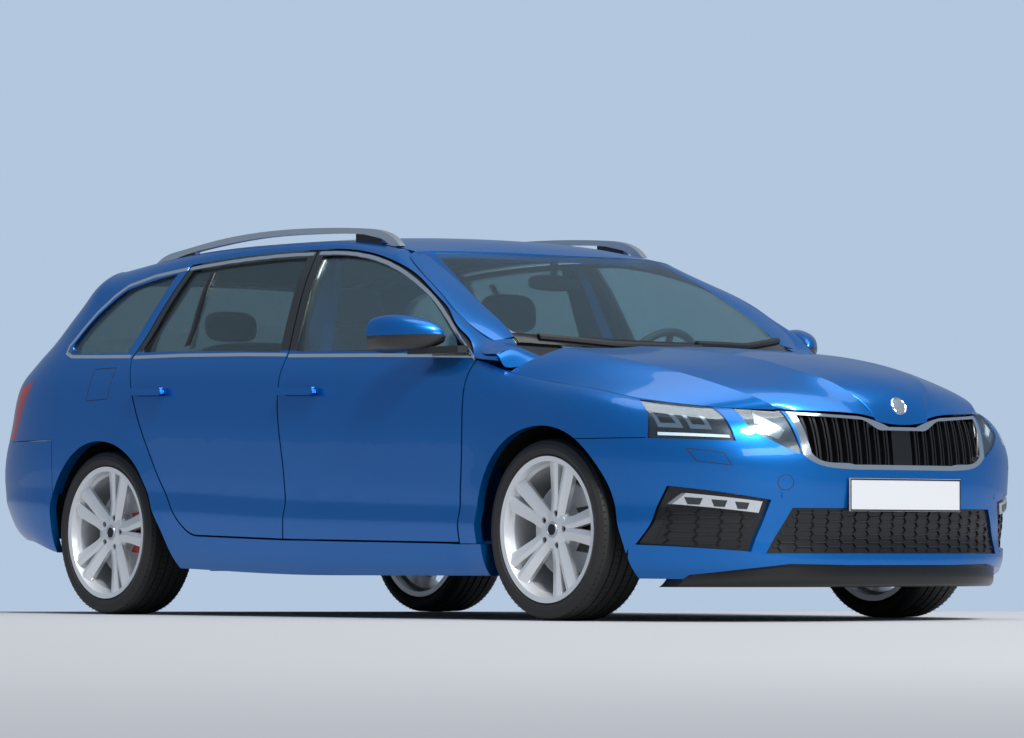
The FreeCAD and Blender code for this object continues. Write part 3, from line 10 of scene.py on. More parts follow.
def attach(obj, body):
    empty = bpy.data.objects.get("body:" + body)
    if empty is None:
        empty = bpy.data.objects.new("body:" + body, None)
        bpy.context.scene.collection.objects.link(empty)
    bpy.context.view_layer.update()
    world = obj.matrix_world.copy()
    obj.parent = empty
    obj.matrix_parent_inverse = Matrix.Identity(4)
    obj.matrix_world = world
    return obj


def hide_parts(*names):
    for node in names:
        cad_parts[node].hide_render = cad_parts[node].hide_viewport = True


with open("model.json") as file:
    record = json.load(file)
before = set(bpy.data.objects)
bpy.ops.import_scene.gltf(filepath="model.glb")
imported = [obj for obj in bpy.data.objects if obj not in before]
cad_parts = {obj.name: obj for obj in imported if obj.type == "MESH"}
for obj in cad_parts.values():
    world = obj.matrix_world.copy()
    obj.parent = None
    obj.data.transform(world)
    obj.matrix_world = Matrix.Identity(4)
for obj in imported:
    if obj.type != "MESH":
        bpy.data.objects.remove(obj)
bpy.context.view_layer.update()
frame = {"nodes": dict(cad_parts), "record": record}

frontAxle = -1.4645
print("frame loaded")

# Colours and surface values, one entry per finish
look = {
    "body_paint": {"kind": "paint", "colour": (0.0, 0.135, 0.47), "rough": 0.32, "metal": 0.75, "coat": 0.5},
    "clear_glass": {"kind": "glass", "colour": (0.82, 0.94, 0.95), "rough": 0.0, "shine": 0.55},
    "dark_glass": {"kind": "glass", "colour": (0.7, 0.79, 0.79), "rough": 0.0, "shine": 0.55},
    "black_plastic": {"kind": "solid", "colour": (0.01, 0.01, 0.011), "rough": 0.5, "metal": 0, "grain": 0.1},
    "gloss_black": {"kind": "solid", "colour": (0.006, 0.006, 0.007), "rough": 0.12, "metal": 0, "grain": 0},
    "chrome_trim": {"kind": "solid", "colour": (0.8, 0.82, 0.84), "rough": 0.12, "metal": 1, "grain": 0},
    "lamp_body": {"kind": "solid", "colour": (0.1, 0.11, 0.12), "rough": 0.22, "metal": 0.8, "grain": 0.02},
    "red_lens": {"kind": "solid", "colour": (0.42, 0.012, 0.016), "rough": 0.1, "metal": 0, "grain": 0},
    "rail_silver": {"kind": "solid", "colour": (0.56, 0.6, 0.64), "rough": 0.3, "metal": 0.9, "grain": 0.02},
    "plate_white": {"kind": "solid", "colour": (0.62, 0.63, 0.64), "rough": 0.35, "metal": 0, "grain": 0.02},
    "tyre_rubber": {"kind": "solid", "colour": (0.014, 0.014, 0.014), "rough": 0.62, "metal": 0, "grain": 0.25},
    "rim_alloy": {"kind": "solid", "colour": (0.78, 0.79, 0.8), "rough": 0.32, "metal": 0.45, "grain": 0.02},
    "cast_iron": {"kind": "solid", "colour": (0.05, 0.05, 0.05), "rough": 0.6, "metal": 0.6, "grain": 0.25},
    "steel_dark": {"kind": "solid", "colour": (0.012, 0.012, 0.013), "rough": 0.6, "metal": 0.2, "grain": 0.1},
    "caliper_red": {"kind": "solid", "colour": (0.42, 0.01, 0.012), "rough": 0.28, "metal": 0.1, "grain": 0.03},
    "seat_fabric": {"kind": "fabric", "colour": (0.03, 0.031, 0.034), "rough": 0.85},
    "cabin_trim": {"kind": "solid", "colour": (0.03, 0.031, 0.034), "rough": 0.6, "metal": 0, "grain": 0.2},
}

# Sizes of the patterns inside the finishes
pattern = {"flakeScale": 900.0, "flakeDark": (0.85, 0.85, 0.85), "flakeBright": (1.3, 1.2, 1.15),
           "coatRough": 0.03, "grainDetail": 4.0, "plasticScale": 400.0, "plasticDepth": 0.0004,
           "weaveScale": 1400.0, "weaveStrength": 0.35, "weaveDepth": 0.0006, "sheen": 0.3, "glassIor": 1.5}


def newMaterial(name):
    material = bpy.data.materials.new(name)
    material.use_nodes = True
    tree = material.node_tree
    return material, tree, tree.nodes["Principled BSDF"]


def grain(tree, shader, scale, strength, depth):
    coords = tree.nodes.new("ShaderNodeTexCoord")
    noise = tree.nodes.new("ShaderNodeTexNoise")
    noise.inputs["Scale"].default_value = scale
    noise.inputs["Detail"].default_value = pattern["grainDetail"]
    bump = tree.nodes.new("ShaderNodeBump")
    bump.inputs["Strength"].default_value = strength
    bump.inputs["Distance"].default_value = depth
    tree.links.new(coords.outputs["Object"], noise.inputs["Vector"])
    tree.links.new(noise.outputs["Fac"], bump.inputs["Height"])
    tree.links.new(bump.outputs["Normal"], shader.inputs["Normal"])


def paintMaterial(name, values):
    material, tree, shader = newMaterial(name)
    coords = tree.nodes.new("ShaderNodeTexCoord")
    flake = tree.nodes.new("ShaderNodeTexNoise")
    flake.inputs["Scale"].default_value = pattern["flakeScale"]
    mix = tree.nodes.new("ShaderNodeMix")
    mix.data_type = "RGBA"
    for socket, shade in (("A", pattern["flakeDark"]), ("B", pattern["flakeBright"])):
        mix.inputs[socket].default_value = (*[part * share for part, share in zip(values["colour"], shade)], 1)
    tree.links.new(coords.outputs["Object"], flake.inputs["Vector"])
    tree.links.new(flake.outputs["Fac"], mix.inputs["Factor"])
    tree.links.new(mix.outputs["Result"], shader.inputs["Base Color"])
    shader.inputs["Metallic"].default_value = values["metal"]
    shader.inputs["Roughness"].default_value = values["rough"]
    shader.inputs["Coat Weight"].default_value = values["coat"]
    shader.inputs["Coat Roughness"].default_value = pattern["coatRough"]
    return material


def solidMaterial(name, values):
    material, tree, shader = newMaterial(name)
    shader.inputs["Base Color"].default_value = (*values["colour"], 1)
    shader.inputs["Metallic"].default_value = values["metal"]
    shader.inputs["Roughness"].default_value = values["rough"]
    if values["grain"] > 0:
        grain(tree, shader, pattern["plasticScale"], values["grain"], pattern["plasticDepth"])
    return material


def glassMaterial(name, values):
    material, tree, shader = newMaterial(name)
    tree.nodes.remove(shader)
    clear = tree.nodes.new("ShaderNodeBsdfTransparent")
    clear.inputs["Color"].default_value = (*values["colour"], 1)
    gloss = tree.nodes.new("ShaderNodeBsdfGlossy")
    gloss.inputs["Roughness"].default_value = values["rough"]
    facing = tree.nodes.new("ShaderNodeFresnel")
    facing.inputs["IOR"].default_value = pattern["glassIor"]
    shine = tree.nodes.new("ShaderNodeMath")
    shine.operation = "MULTIPLY"
    shine.inputs[1].default_value = values["shine"]
    mix = tree.nodes.new("ShaderNodeMixShader")
    tree.links.new(facing.outputs["Fac"], shine.inputs[0])
    tree.links.new(shine.outputs["Value"], mix.inputs["Fac"])
    tree.links.new(clear.outputs["BSDF"], mix.inputs[1])
    tree.links.new(gloss.outputs["BSDF"], mix.inputs[2])
    tree.links.new(mix.outputs["Shader"], tree.nodes["Material Output"].inputs["Surface"])
    return material


def fabricMaterial(name, values):
    material, tree, shader = newMaterial(name)
    shader.inputs["Base Color"].default_value = (*values["colour"], 1)
    shader.inputs["Roughness"].default_value = values["rough"]
    shader.inputs["Sheen Weight"].default_value = pattern["sheen"]
    grain(tree, shader, pattern["weaveScale"], pattern["weaveStrength"], pattern["weaveDepth"])
    return material


makers = {"paint": paintMaterial, "solid": solidMaterial, "glass": glassMaterial, "fabric": fabricMaterial}
materials = {slot: makers[values["kind"]](slot, values) for slot, values in look.items()}


# A material that turns black above a line across the stations, or below a height
def bandMaterial(name, slot, other, axis, slope, level, above=True):
    material = materials[slot].copy()
    material.name = name
    tree = material.node_tree
    shader = tree.nodes["Principled BSDF"]
    coords = tree.nodes.new("ShaderNodeTexCoord")
    split = tree.nodes.new("ShaderNodeSeparateXYZ")
    tree.links.new(coords.outputs["Object"], split.inputs["Vector"])
    lean = tree.nodes.new("ShaderNodeMath")
    lean.operation = "MULTIPLY_ADD"
    lean.inputs[1].default_value = -slope
    tree.links.new(split.outputs[axis], lean.inputs[0])
    tree.links.new(split.outputs["Z"], lean.inputs[2])
    cut = tree.nodes.new("ShaderNodeMath")
    cut.operation = "GREATER_THAN" if above else "LESS_THAN"
    cut.inputs[1].default_value = level
    tree.links.new(lean.outputs["Value"], cut.inputs[0])
    for socket, value in (("Base Color", (*look[other]["colour"], 1)), ("Metallic", look[other]["metal"])):
        mix = tree.nodes.new("ShaderNodeMix")
        colour = socket == "Base Color"
        mix.data_type = "RGBA" if colour else "FLOAT"
        kind = "RGBA" if colour else "VALUE"
        target = shader.inputs[socket]
        first = [s for s in mix.inputs if s.name == "A" and s.type == kind][0]
        second = [s for s in mix.inputs if s.name == "B" and s.type == kind][0]
        result = [s for s in mix.outputs if s.type == kind][0]
        if target.is_linked:
            tree.links.new(target.links[0].from_socket, first)
        else:
            first.default_value = target.default_value
        second.default_value = value
        tree.links.new(cut.outputs["Value"], mix.inputs["Factor"])
        tree.links.new(result, target)
    return material


def plainMaterial(name, colour, rough, metal=0.0, glow=0.0):
    material, tree, shader = newMaterial(name)
    shader.inputs["Base Color"].default_value = (*colour, 1)
    shader.inputs["Roughness"].default_value = rough
    shader.inputs["Metallic"].default_value = metal
    if glow:
        shader.inputs["Emission Color"].default_value = (*colour, 1)
        shader.inputs["Emission Strength"].default_value = glow
    return material


for part in frame["record"]["subparts"]:
    piece = frame["nodes"][part["node"]]
    piece.data.materials.clear()
    piece.data.materials.append(materials[part["material_slot"]])


def dress(node, material):
    frame["nodes"][node].data.materials[0] = material


# The doors are painted below the belt and black above it: slope, then a station and a height on the line
belt = {"front": (0.0357, 470, 938), "rear": (0.0260, 1582, 978), "above": 6}
for end in ("front", "rear"):
    slope, station, level = belt[end]
    height = (level + belt["above"] - slope * station) / 1000 - slope * frontAxle
    black = bandMaterial("door_paint_" + end, "body_paint", "gloss_black", "Y", slope, height)
    for side in ("right", "left"):
        dress("door_%s_%s" % (end, side), black)
mirror = {"capFrom": 1.008}  # the shell is painted above this height
mirrorPaint = bandMaterial("mirror_paint", "body_paint", "black_plastic", "Y", 0.0, mirror["capFrom"],
                           above=False)
for side in ("right", "left"):
    dress("mirror_" + side, mirrorPaint)
dress("grilles", plainMaterial("grille_black", (0.006, 0.006, 0.007), 0.30))
lensGlass = {"colour": (0.88, 0.92, 0.94), "rough": 0.0, "shine": 0.35}
dress("headlamp_lenses", glassMaterial("lens_clear", lensGlass))
whiteGlow = plainMaterial("lamp_white", (0.85, 0.88, 0.92), 0.25, 0.0, 0.25)
reflector = plainMaterial("lamp_reflector", (0.75, 0.77, 0.80), 0.12, 1.0)
lampDark = plainMaterial("lamp_dark", (0.05, 0.055, 0.06), 0.25, 0.6)
dress("fog_lamps", plainMaterial("fog_glass", (0.55, 0.57, 0.60), 0.15, 0.6))
seam = plainMaterial("seam_dark", (0.004, 0.006, 0.010), 0.6)
print("materials ready")


def spot(x, station, z):
    return Vector((x / 1000, station / 1000 + frontAxle, z / 1000))


def surface(*names):
    points, faces = [], []
    for name in names:
        mesh = frame["nodes"][name].data
        start = len(points)
        points += [vertex.co.copy() for vertex in mesh.vertices]
        faces += [[start + index for index in polygon.vertices] for polygon in mesh.polygons]
    return BVHTree.FromPolygons(points, faces)


clearOfCar = -1300  # where the rays from the side and the front start
searchStep = 2.0


# Each projection takes two flat coordinates in millimetres and finds the skin there
def fromSide(tree, s, z):
    return tree.ray_cast(spot(clearOfCar, s, z), Vector((1, 0, 0)))[:2]


def fromFront(tree, x, z):
    return tree.ray_cast(spot(x, clearOfCar, z), Vector((0, 1, 0)))[:2]


sharpFrom = math.radians(35)


def addPiece(name, points, faces, material, body, smooth=True):
    mesh = bpy.data.meshes.new(name)
    mesh.from_pydata([tuple(point) for point in points], [], faces)
    mesh.materials.append(materials[material] if isinstance(material, str) else material)
    work = bmesh.new()
    work.from_mesh(mesh)
    bmesh.ops.recalc_face_normals(work, faces=work.faces)
    work.to_mesh(mesh)
    work.free()
    if smooth:
        for polygon in mesh.polygons:
            polygon.use_smooth = True
        mesh.set_sharp_from_angle(angle=sharpFrom)
    made = bpy.data.objects.new(name, mesh)
    bpy.context.scene.collection.objects.link(made)
    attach(made, body)
    return made


def mirroredPoints(points):
    return [Vector((-point.x, point.y, point.z)) for point in points]


# The same path with points no more than a step apart
def refined(path, step):
    points = []
    for (a0, b0), (a1, b1) in zip(path, path[1:]):
        count = max(1, int(math.hypot(a1 - a0, b1 - b0) / step))
        for number in range(count):
            share = number / count
            points.append((a0 + share * (a1 - a0), b0 + share * (b1 - b0)))
    return points + [path[-1]]


# A strip's cross-section, as shares of its width and height
stripSection = [(-0.5, 0.45), (-0.28, 1.0), (0.28, 1.0), (0.5, 0.45)]


# A raised strip that follows a path over the skin, with rounded shoulders
def ribbon(path, width, proud, tree, project, closed=False, step=30, sink=2.0):
    path = refined(path + path[:1] if closed else path, step)
    if closed:
        path = path[:-1]
    section = [(-0.5, -sink)] + [(share, tall * proud) for share, tall in stripSection] + [(0.5, -sink)]
    sides, count = len(section), len(path)
    points, rings = [], []
    for index, (a, b) in enumerate(path):
        before = path[(index - 1) % count] if closed or index else path[0]
        after = path[(index + 1) % count] if closed or index < count - 1 else path[-1]
        dx, dy = after[0] - before[0], after[1] - before[1]
        length = math.hypot(dx, dy) or 1.0
        nx, ny = -dy / length, dx / length
        ring = [project(tree, a + nx * width * share, b + ny * width * share) for share, height in section]
        if any(place is None for place, normal in ring):
            continue
        rings.append(len(points))
        points += [place + normal * height / 1000 for (place, normal), (share, height) in zip(ring, section)]
    faces = []
    pairs = list(zip(rings, rings[1:])) + ([(rings[-1], rings[0])] if closed else [])
    for first, second in pairs:
        for side in range(sides):
            following = (side + 1) % sides
            faces.append((first + side, first + following, second + following, second + side))
    if not closed and rings:
        faces.append(tuple(rings[0] + side for side in range(sides)))
        faces.append(tuple(rings[-1] + side for side in range(sides)))
    return points, faces


# A shape made for the right side, and its mirror image on the left
def mirroredPair(name, shape, material, bodies):
    points, faces = shape
    addPiece(name % "right", points, faces, material, bodies[0])
    addPiece(name % "left", mirroredPoints(points), faces, material, bodies[1])


frontBodies = ("door_front_right", "door_front_left")
rearBodies = ("door_rear_right", "door_rear_left")
chassis = ("chassis", "chassis")

# Chrome round the side windows, and the black divider in the rear doors' glass
trim = {"width": 13.0, "proud": 2.5, "belowEdge": 8, "dividerWidth": 34, "dividerProud": 4}
frontDoor = surface("door_front_right")
rearDoor = surface("door_rear_right")
bodySide = surface("body_side_right", "quarter_windows")


# Height of a panel's top edge at a station, seen from the side
def topEdge(tree, s, low, high):
    z = high
    while z > low and fromSide(tree, s, z)[0] is None:
        z -= searchStep
    return z


def chromePair(name, path, tree, bodies):
    strip = ribbon(path, trim["width"], trim["proud"], tree, fromSide)
    mirroredPair(name + "_%s", strip, "chrome_trim", bodies)


frontStations = list(range(424, 560, 14)) + list(range(560, 1600, 30))
frontTop = [(s, topEdge(frontDoor, s, 900, 1400) - trim["belowEdge"]) for s in frontStations]
rearTop = [(s, topEdge(rearDoor, s, 1250, 1420) - trim["belowEdge"]) for s in range(1616, 2386, 32)]
chromePair("front_window_chrome", [(1517, 962), (1000, 948), (600, 935), (470, 930), (440, 929)] + frontTop,
           frontDoor, frontBodies)
chromePair("rear_window_belt", [(1533, 966), (1800, 975), (2200, 984), (2512, 986)], rearDoor, rearBodies)
chromePair("rear_window_top", rearTop, rearDoor, rearBodies)
chromePair("quarter_chrome",
           [(2536, 990), (2760, 996), (2950, 1002), (3000, 1018), (3002, 1048), (2950, 1110), (2890, 1178),
            (2820, 1235), (2750, 1276), (2600, 1308), (2402, 1328)], bodySide, chassis)
divider = ribbon([(2188, 990), (2239, 1336)], trim["dividerWidth"], trim["dividerProud"],
                 surface("glass_rear_right"), fromSide, sink=0.5)
mirroredPair("rear_window_divider_%s", divider, "gloss_black", rearBodies)
print("window trim ready")

# Fine lines that outline the fuel flap, the washer caps and the towing cap
seamLine = {"width": 3.0, "proud": 0.25, "sink": 0.5, "capWidth": 2.5, "capRadius": 26,
            "capCentre": (-487, 472), "capPoints": 24}
washerCap = [(-754, 588), (-668, 572), (-648, 530), (-734, 544)]
fuelFlap = [(2752, 947), (2608, 949), (2629, 829), (2773, 824)]
capTurns = [turn * math.tau / seamLine["capPoints"] for turn in range(seamLine["capPoints"])]
towCap = [(seamLine["capCentre"][0] + seamLine["capRadius"] * math.cos(turn),
           seamLine["capCentre"][1] + seamLine["capRadius"] * math.sin(turn)) for turn in capTurns]
bumper = surface("front_bumper")
for name, path, width, tree, project, step in (
        ("fuel_flap_seam", fuelFlap, seamLine["width"], surface("body_side_right"), fromSide, 20),
        ("washer_cap", washerCap, seamLine["width"], bumper, fromFront, 12),
        ("washer_cap_far", [(-x, z) for x, z in washerCap], seamLine["width"], bumper, fromFront, 12),
        ("tow_cap_seam", towCap, seamLine["capWidth"], bumper, fromFront, 12)):
    points, faces = ribbon(path, width, seamLine["proud"], tree, project, closed=True, step=step,
                           sink=seamLine["sink"])
    addPiece(name, points, faces, seam, "chassis")
print("seams ready")


# Turned shapes: a profile of (along x, radius) about a wheel's axle
def turned(profile, centre, outward, steps=48):
    points, faces = [], []
    count = len(profile)
    for step in range(steps):
        angle = math.tau * step / steps
        for x, radius in profile:
            place = Vector((outward * x, radius * math.cos(angle), radius * math.sin(angle)))
            points.append(centre + place / 1000)
    for step in range(steps):
        here, there = step * count, (step + 1) % steps * count
        for index in range(count - 1):
            faces.append((here + index, here + index + 1, there + index + 1, there + index))
    return points, faces


# Repeats one small shape at many places, each with its own turn, by Geometry Nodes
def repeated(name, shape, places, material, body):
    holder = bpy.data.meshes.new(name + "_places")
    holder.from_pydata([tuple(place) for place, turn in places], [], [])
    turns = holder.attributes.new("turn", "FLOAT_VECTOR", "POINT")
    for index, (place, turn) in enumerate(places):
        turns.data[index].vector = turn
    source = bpy.data.objects.new(name + "_places", holder)
    bpy.context.scene.collection.objects.link(source)
    mesh = bpy.data.meshes.new(name + "_shape")
    mesh.from_pydata([tuple(point) for point in shape[0]], [], shape[1])
    template = bpy.data.objects.new(name + "_shape", mesh)
    bpy.context.scene.collection.objects.link(template)
    group = bpy.data.node_groups.new(name + "_repeat", "GeometryNodeTree")
    group.interface.new_socket("Geometry", in_out="INPUT", socket_type="NodeSocketGeometry")
    shapeSocket = group.interface.new_socket("Shape", in_out="INPUT", socket_type="NodeSocketObject")
    finishSocket = group.interface.new_socket("Finish", in_out="INPUT", socket_type="NodeSocketMaterial")
    group.interface.new_socket("Geometry", in_out="OUTPUT", socket_type="NodeSocketGeometry")
    nodes, links = group.nodes, group.links
    entry, leave = nodes.new("NodeGroupInput"), nodes.new("NodeGroupOutput")
    info = nodes.new("GeometryNodeObjectInfo")
    attribute = nodes.new("GeometryNodeInputNamedAttribute")
    attribute.data_type = "FLOAT_VECTOR"
    attribute.inputs["Name"].default_value = "turn"
    rotation = nodes.new("FunctionNodeEulerToRotation")
    place = nodes.new("GeometryNodeInstanceOnPoints")
    realize = nodes.new("GeometryNodeRealizeInstances")
    finish = nodes.new("GeometryNodeSetMaterial")
    links.new(entry.outputs["Shape"], info.inputs["Object"])
    links.new(attribute.outputs["Attribute"], rotation.inputs["Euler"])
    links.new(entry.outputs["Geometry"], place.inputs["Points"])
    links.new(info.outputs["Geometry"], place.inputs["Instance"])
    links.new(rotation.outputs["Rotation"], place.inputs["Rotation"])
    links.new(place.outputs["Instances"], realize.inputs["Geometry"])
    links.new(realize.outputs["Geometry"], finish.inputs["Geometry"])
    links.new(entry.outputs["Finish"], finish.inputs["Material"])
    links.new(finish.outputs["Geometry"], leave.inputs["Geometry"])
    modifier = source.modifiers.new("repeat", "NODES")
    modifier.node_group = group
    modifier[shapeSocket.identifier] = template
    modifier[finishSocket.identifier] = material
    evaluated = source.evaluated_get(bpy.context.evaluated_depsgraph_get())
    made = bpy.data.objects.new(name, bpy.data.meshes.new_from_object(evaluated))
    bpy.context.scene.collection.objects.link(made)
    bpy.data.objects.remove(source)
    bpy.data.objects.remove(template)
    bpy.data.node_groups.remove(group)
    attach(made, body)
    return made


boxFaces = [(0, 1, 3, 2), (4, 6, 7, 5), (0, 4, 5, 1), (2, 3, 7, 6), (0, 2, 6, 4), (1, 5, 7, 3)]


# Small shapes about their own centre, sized in millimetres
def boxShape(width, depth, height):
    points = [(x * width / 2000, y * depth / 2000, z * height / 2000)
              for x in (-1, 1) for y in (-1, 1) for z in (-1, 1)]
    return points, boxFaces


def discShape(radius, depth, sides):
    points, faces = [], []
    for x in (-depth / 2, depth / 2):
        for side in range(sides):
            angle = math.tau * side / sides
            points.append((x / 1000, radius * math.cos(angle) / 1000, radius * math.sin(angle) / 1000))
    faces.append(tuple(range(sides)))
    faces.append(tuple(reversed(range(sides, 2 * sides))))
    for side in range(sides):
        following = (side + 1) % sides
        faces.append((side, following, sides + following, sides + side))
    return points, faces


# Wheels: centre caps, bolts and tread cuts, as (across, reach, turned by this share of a step)
wheel = {"station": {"front": 0.0, "rear": 2677.0}, "track": 768.0, "height": 315.0, "capSteps": 40,
         "cap": [(79.5, 0.0), (79.5, 22.0), (81.0, 23.0), (81.0, 27.0), (79.0, 28.5), (70.0, 29.0)],
         "capFace": [(79.9, 0.0), (79.9, 19.5), (79.0, 20.0)]}
bolt = {"number": 5, "turn": 15.8, "circle": 58.0, "outward": 60.0, "radius": 8.5, "length": 12, "sides": 6}
tread = {"number": 82, "cut": (24, 2.2, 1.2),
         "rows": [(-88, 310.5, 0.0), (88, 310.5, 0.0), (-35, 314.1, 0.4), (0, 314.1, 0.4), (35, 314.1, 0.4)]}
# Dark boxes mark the tread grooves; their near-black colour, darker than the tyre rubber, is painted shade in
# the grooves
treadShade = plainMaterial("tread_groove_shade", (0.003, 0.003, 0.003), 0.9)


# A place about a wheel's axle, at an angle from the top
def roundAxle(centre, x, radius, angle):
    return centre + Vector((x, -radius * math.sin(angle), radius * math.cos(angle))) / 1000


for end, station in wheel["station"].items():
    for side, sign in (("right", -1), ("left", 1)):
        body = "wheel_%s_%s" % (end, side)
        centre = spot(sign * wheel["track"], station, wheel["height"])
        points, faces = turned(wheel["cap"], centre, sign, wheel["capSteps"])
        addPiece("cap_%s_%s" % (end, side), points, faces, "rail_silver", body)
        points, faces = turned(wheel["capFace"], centre, sign, wheel["capSteps"])
        addPiece("cap_face_%s_%s" % (end, side), points, faces, "gloss_black", body)
        places = []
        for number in range(bolt["number"]):
            angle = math.tau * number / bolt["number"] + math.radians(bolt["turn"])
            places.append((roundAxle(centre, sign * bolt["outward"], bolt["circle"], angle), (0, 0, 0)))
        repeated("bolts_%s_%s" % (end, side), discShape(bolt["radius"], bolt["length"], bolt["sides"]), places,
                 materials["steel_dark"], body)
        places = []
        for number in range(tread["number"]):
            for across, reach, share in tread["rows"]:
                angle = math.tau * (number + share) / tread["number"]
                places.append((roundAxle(centre, across, reach, angle), (angle, 0, 0)))
        repeated("sipes_%s_%s" % (end, side), boxShape(*tread["cut"]), places, treadShade, body)
print("wheels ready")

# Badge place on the nose: a bare ringed disc
badge = {"x": 0.0, "z": 738.0, "ring": [(-3, 26), (2.5, 27), (4, 30), (2.5, 33), (-3, 34)],
         "face": [(2.2, 0.0), (2.0, 20), (1.0, 27.5)]}
place, normal = fromFront(surface("hood"), badge["x"], badge["z"])
badgeTurn = normal.to_track_quat("X", "Z").to_matrix()
for name, profile, material in (("badge_ring", badge["ring"], "chrome_trim"),
                                ("badge_face", badge["face"], "rail_silver")):
    points, faces = turned(profile, Vector((0, 0, 0)), 1)
    addPiece(name, [place + badgeTurn @ point for point in points], faces, material, "hood")
print("badge ready")


pullStep, pullLimit = 0.03, 0.9


# A patch over the skin between four corners, set below it by a depth; points off the skin are drawn inwards
def patch(corners, tree, project, depth, columns=12, rows=8):
    (a0, b0), (a1, b1), (a2, b2), (a3, b3) = corners
    middle = ((a0 + a1 + a2 + a3) / 4, (b0 + b1 + b2 + b3) / 4)
    points, faces = [], []
    for row in range(rows + 1):
        v = row / rows
        for column in range(columns + 1):
            u = column / columns
            a = (1 - v) * ((1 - u) * a0 + u * a1) + v * ((1 - u) * a3 + u * a2)
            b = (1 - v) * ((1 - u) * b0 + u * b1) + v * ((1 - u) * b3 + u * b2)
            place, normal = project(tree, a, b)
            pull = 0.0
            while place is None and pull < pullLimit:
                pull += pullStep
                place, normal = project(tree, a + pull * (middle[0] - a), b + pull * (middle[1] - b))
            points.append(place - normal * depth / 1000)
    for row in range(rows):
        for column in range(columns):
            first = row * (columns + 1) + column
            faces.append((first, first + 1, first + columns + 2, first + columns + 1))
    return points, faces


# The part of a line that lies inside an outline
def clipped(start, end, outline):
    centreX = sum(corner[0] for corner in outline) / len(outline)
    centreZ = sum(corner[1] for corner in outline) / len(outline)
    low, high = 0.0, 1.0
    for (ax, az), (bx, bz) in zip(outline, outline[1:] + outline[:1]):
        nx, nz = bz - az, ax - bx
        if nx * (centreX - ax) + nz * (centreZ - az) < 0:
            nx, nz = -nx, -nz
        fromStart = nx * (start[0] - ax) + nz * (start[1] - az)
        fromEnd = nx * (end[0] - ax) + nz * (end[1] - az)
        if fromStart < 0 and fromEnd < 0:
            return None
        if fromStart < 0:
            low = max(low, fromStart / (fromStart - fromEnd))
        elif fromEnd < 0:
            high = min(high, fromStart / (fromStart - fromEnd))
    if low >= high:
        return None
    dx, dz = end[0] - start[0], end[1] - start[1]
    return (start[0] + low * dx, start[1] + low * dz), (start[0] + high * dx, start[1] + high * dz)


# One mesh cell: its flats and points are shares of its width
cell = {"wide": 112.0, "tall": 29.0, "flat": 0.40, "point": 0.10, "rib": 5.0, "proud": 5.0, "sink": 0.5,
        "step": 200, "shortest": 4}


# Stretched hexagon ribs over an intake, cut at its outline
def hexRibs(outline, tree):
    points, faces = [], []
    xs, zs = [corner[0] for corner in outline], [corner[1] for corner in outline]
    halfFlat, halfTall = cell["wide"] * cell["flat"] / 2, cell["tall"] / 2
    tip = halfFlat + cell["wide"] * cell["point"]
    row = 0
    z = min(zs)
    while z < max(zs) + cell["tall"]:
        x = min(xs) - cell["wide"] + (cell["wide"] / 2 if row % 2 else 0.0)
        while x < max(xs) + cell["wide"]:
            corners = [(x - halfFlat, z - halfTall), (x - tip, z), (x - halfFlat, z + halfTall),
                       (x + halfFlat, z + halfTall), (x + tip, z), (x + halfFlat, z - halfTall)]
            for start, end in zip(corners, corners[1:]):
                cut = clipped(start, end, outline)
                if cut is None or math.dist(*cut) < cell["shortest"]:
                    continue
                strip, sides = ribbon(list(cut), cell["rib"], cell["proud"], tree, fromFront,
                                      step=cell["step"], sink=cell["sink"])
                first = len(points)
                points += strip
                faces += [tuple(first + index for index in face) for face in sides]
            x += cell["wide"]
        z += cell["tall"] / 2
        row += 1
    return points, faces


intakeSkin = surface("grilles")
ribBlack = plainMaterial("rib_black", (0.016, 0.016, 0.018), 0.35)
lowerIntake = [(-440, 378), (440, 378), (520, 240), (-520, 240)]
sideIntake = [(-800, 300), (-772, 398), (-575, 366), (-606, 252), (-782, 268)]
blade = {"corners": [(-826, 270), (-788, 452), (-768, 440), (-792, 276)], "proud": 1.5}
points, faces = hexRibs(lowerIntake, intakeSkin)
addPiece("lower_mesh", points, faces, ribBlack, "chassis")
mirroredPair("side_mesh_%s", hexRibs(sideIntake, intakeSkin), ribBlack, chassis)
mirroredPair("intake_blade_%s", patch(blade["corners"], intakeSkin, fromFront, -blade["proud"]), "gloss_black",
             chassis)
print("intake meshes ready")

# Lamp insides: name, corners, depth behind the lens, finish
lensSkin = surface("headlamp_lenses")
for name, corners, depth, material in (
        ("lamp_bar", [(-800, 634), (-640, 624), (-640, 634), (-798, 645)], 4.6, whiteGlow),
        ("lamp_box_a", [(-792, 662), (-742, 658), (-738, 728), (-782, 735)], 4.8, reflector),
        ("lamp_box_b", [(-728, 656), (-678, 652), (-676, 722), (-722, 727)], 4.8, reflector),
        ("lamp_eye_a", [(-782, 678), (-752, 676), (-750, 712), (-776, 716)], 4.4, lampDark),
        ("lamp_eye_b", [(-718, 672), (-688, 670), (-687, 706), (-714, 709)], 4.4, lampDark),
        ("lamp_turn", [(-566, 655), (-500, 618), (-470, 652), (-540, 712)], 4.8, reflector),
        ("lamp_turn_glow", [(-548, 668), (-504, 642), (-490, 656), (-532, 692)], 4.4, whiteGlow)):
    mirroredPair(name + "_%s", patch(corners, lensSkin, fromFront, depth), material, chassis)

# Dark facets in the fog lamps, which follow the lamps' lean
fog = {"places": (-735, -675, -615), "lean": 0.13, "levelAt": -777, "proud": 1.5}
fogSkin = surface("fog_lamps")
for number, x in enumerate(fog["places"]):
    drop = fog["lean"] * (x - fog["levelAt"])
    facet = patch([(x - 20, 428 - drop), (x + 20, 424 - drop), (x + 14, 402 - drop), (x - 12, 404 - drop)],
                  fogSkin, fromFront, -fog["proud"], columns=4, rows=3)
    mirroredPair("fog_facet_%%s_%d" % number, facet, lampDark, chassis)
print("lamps ready")


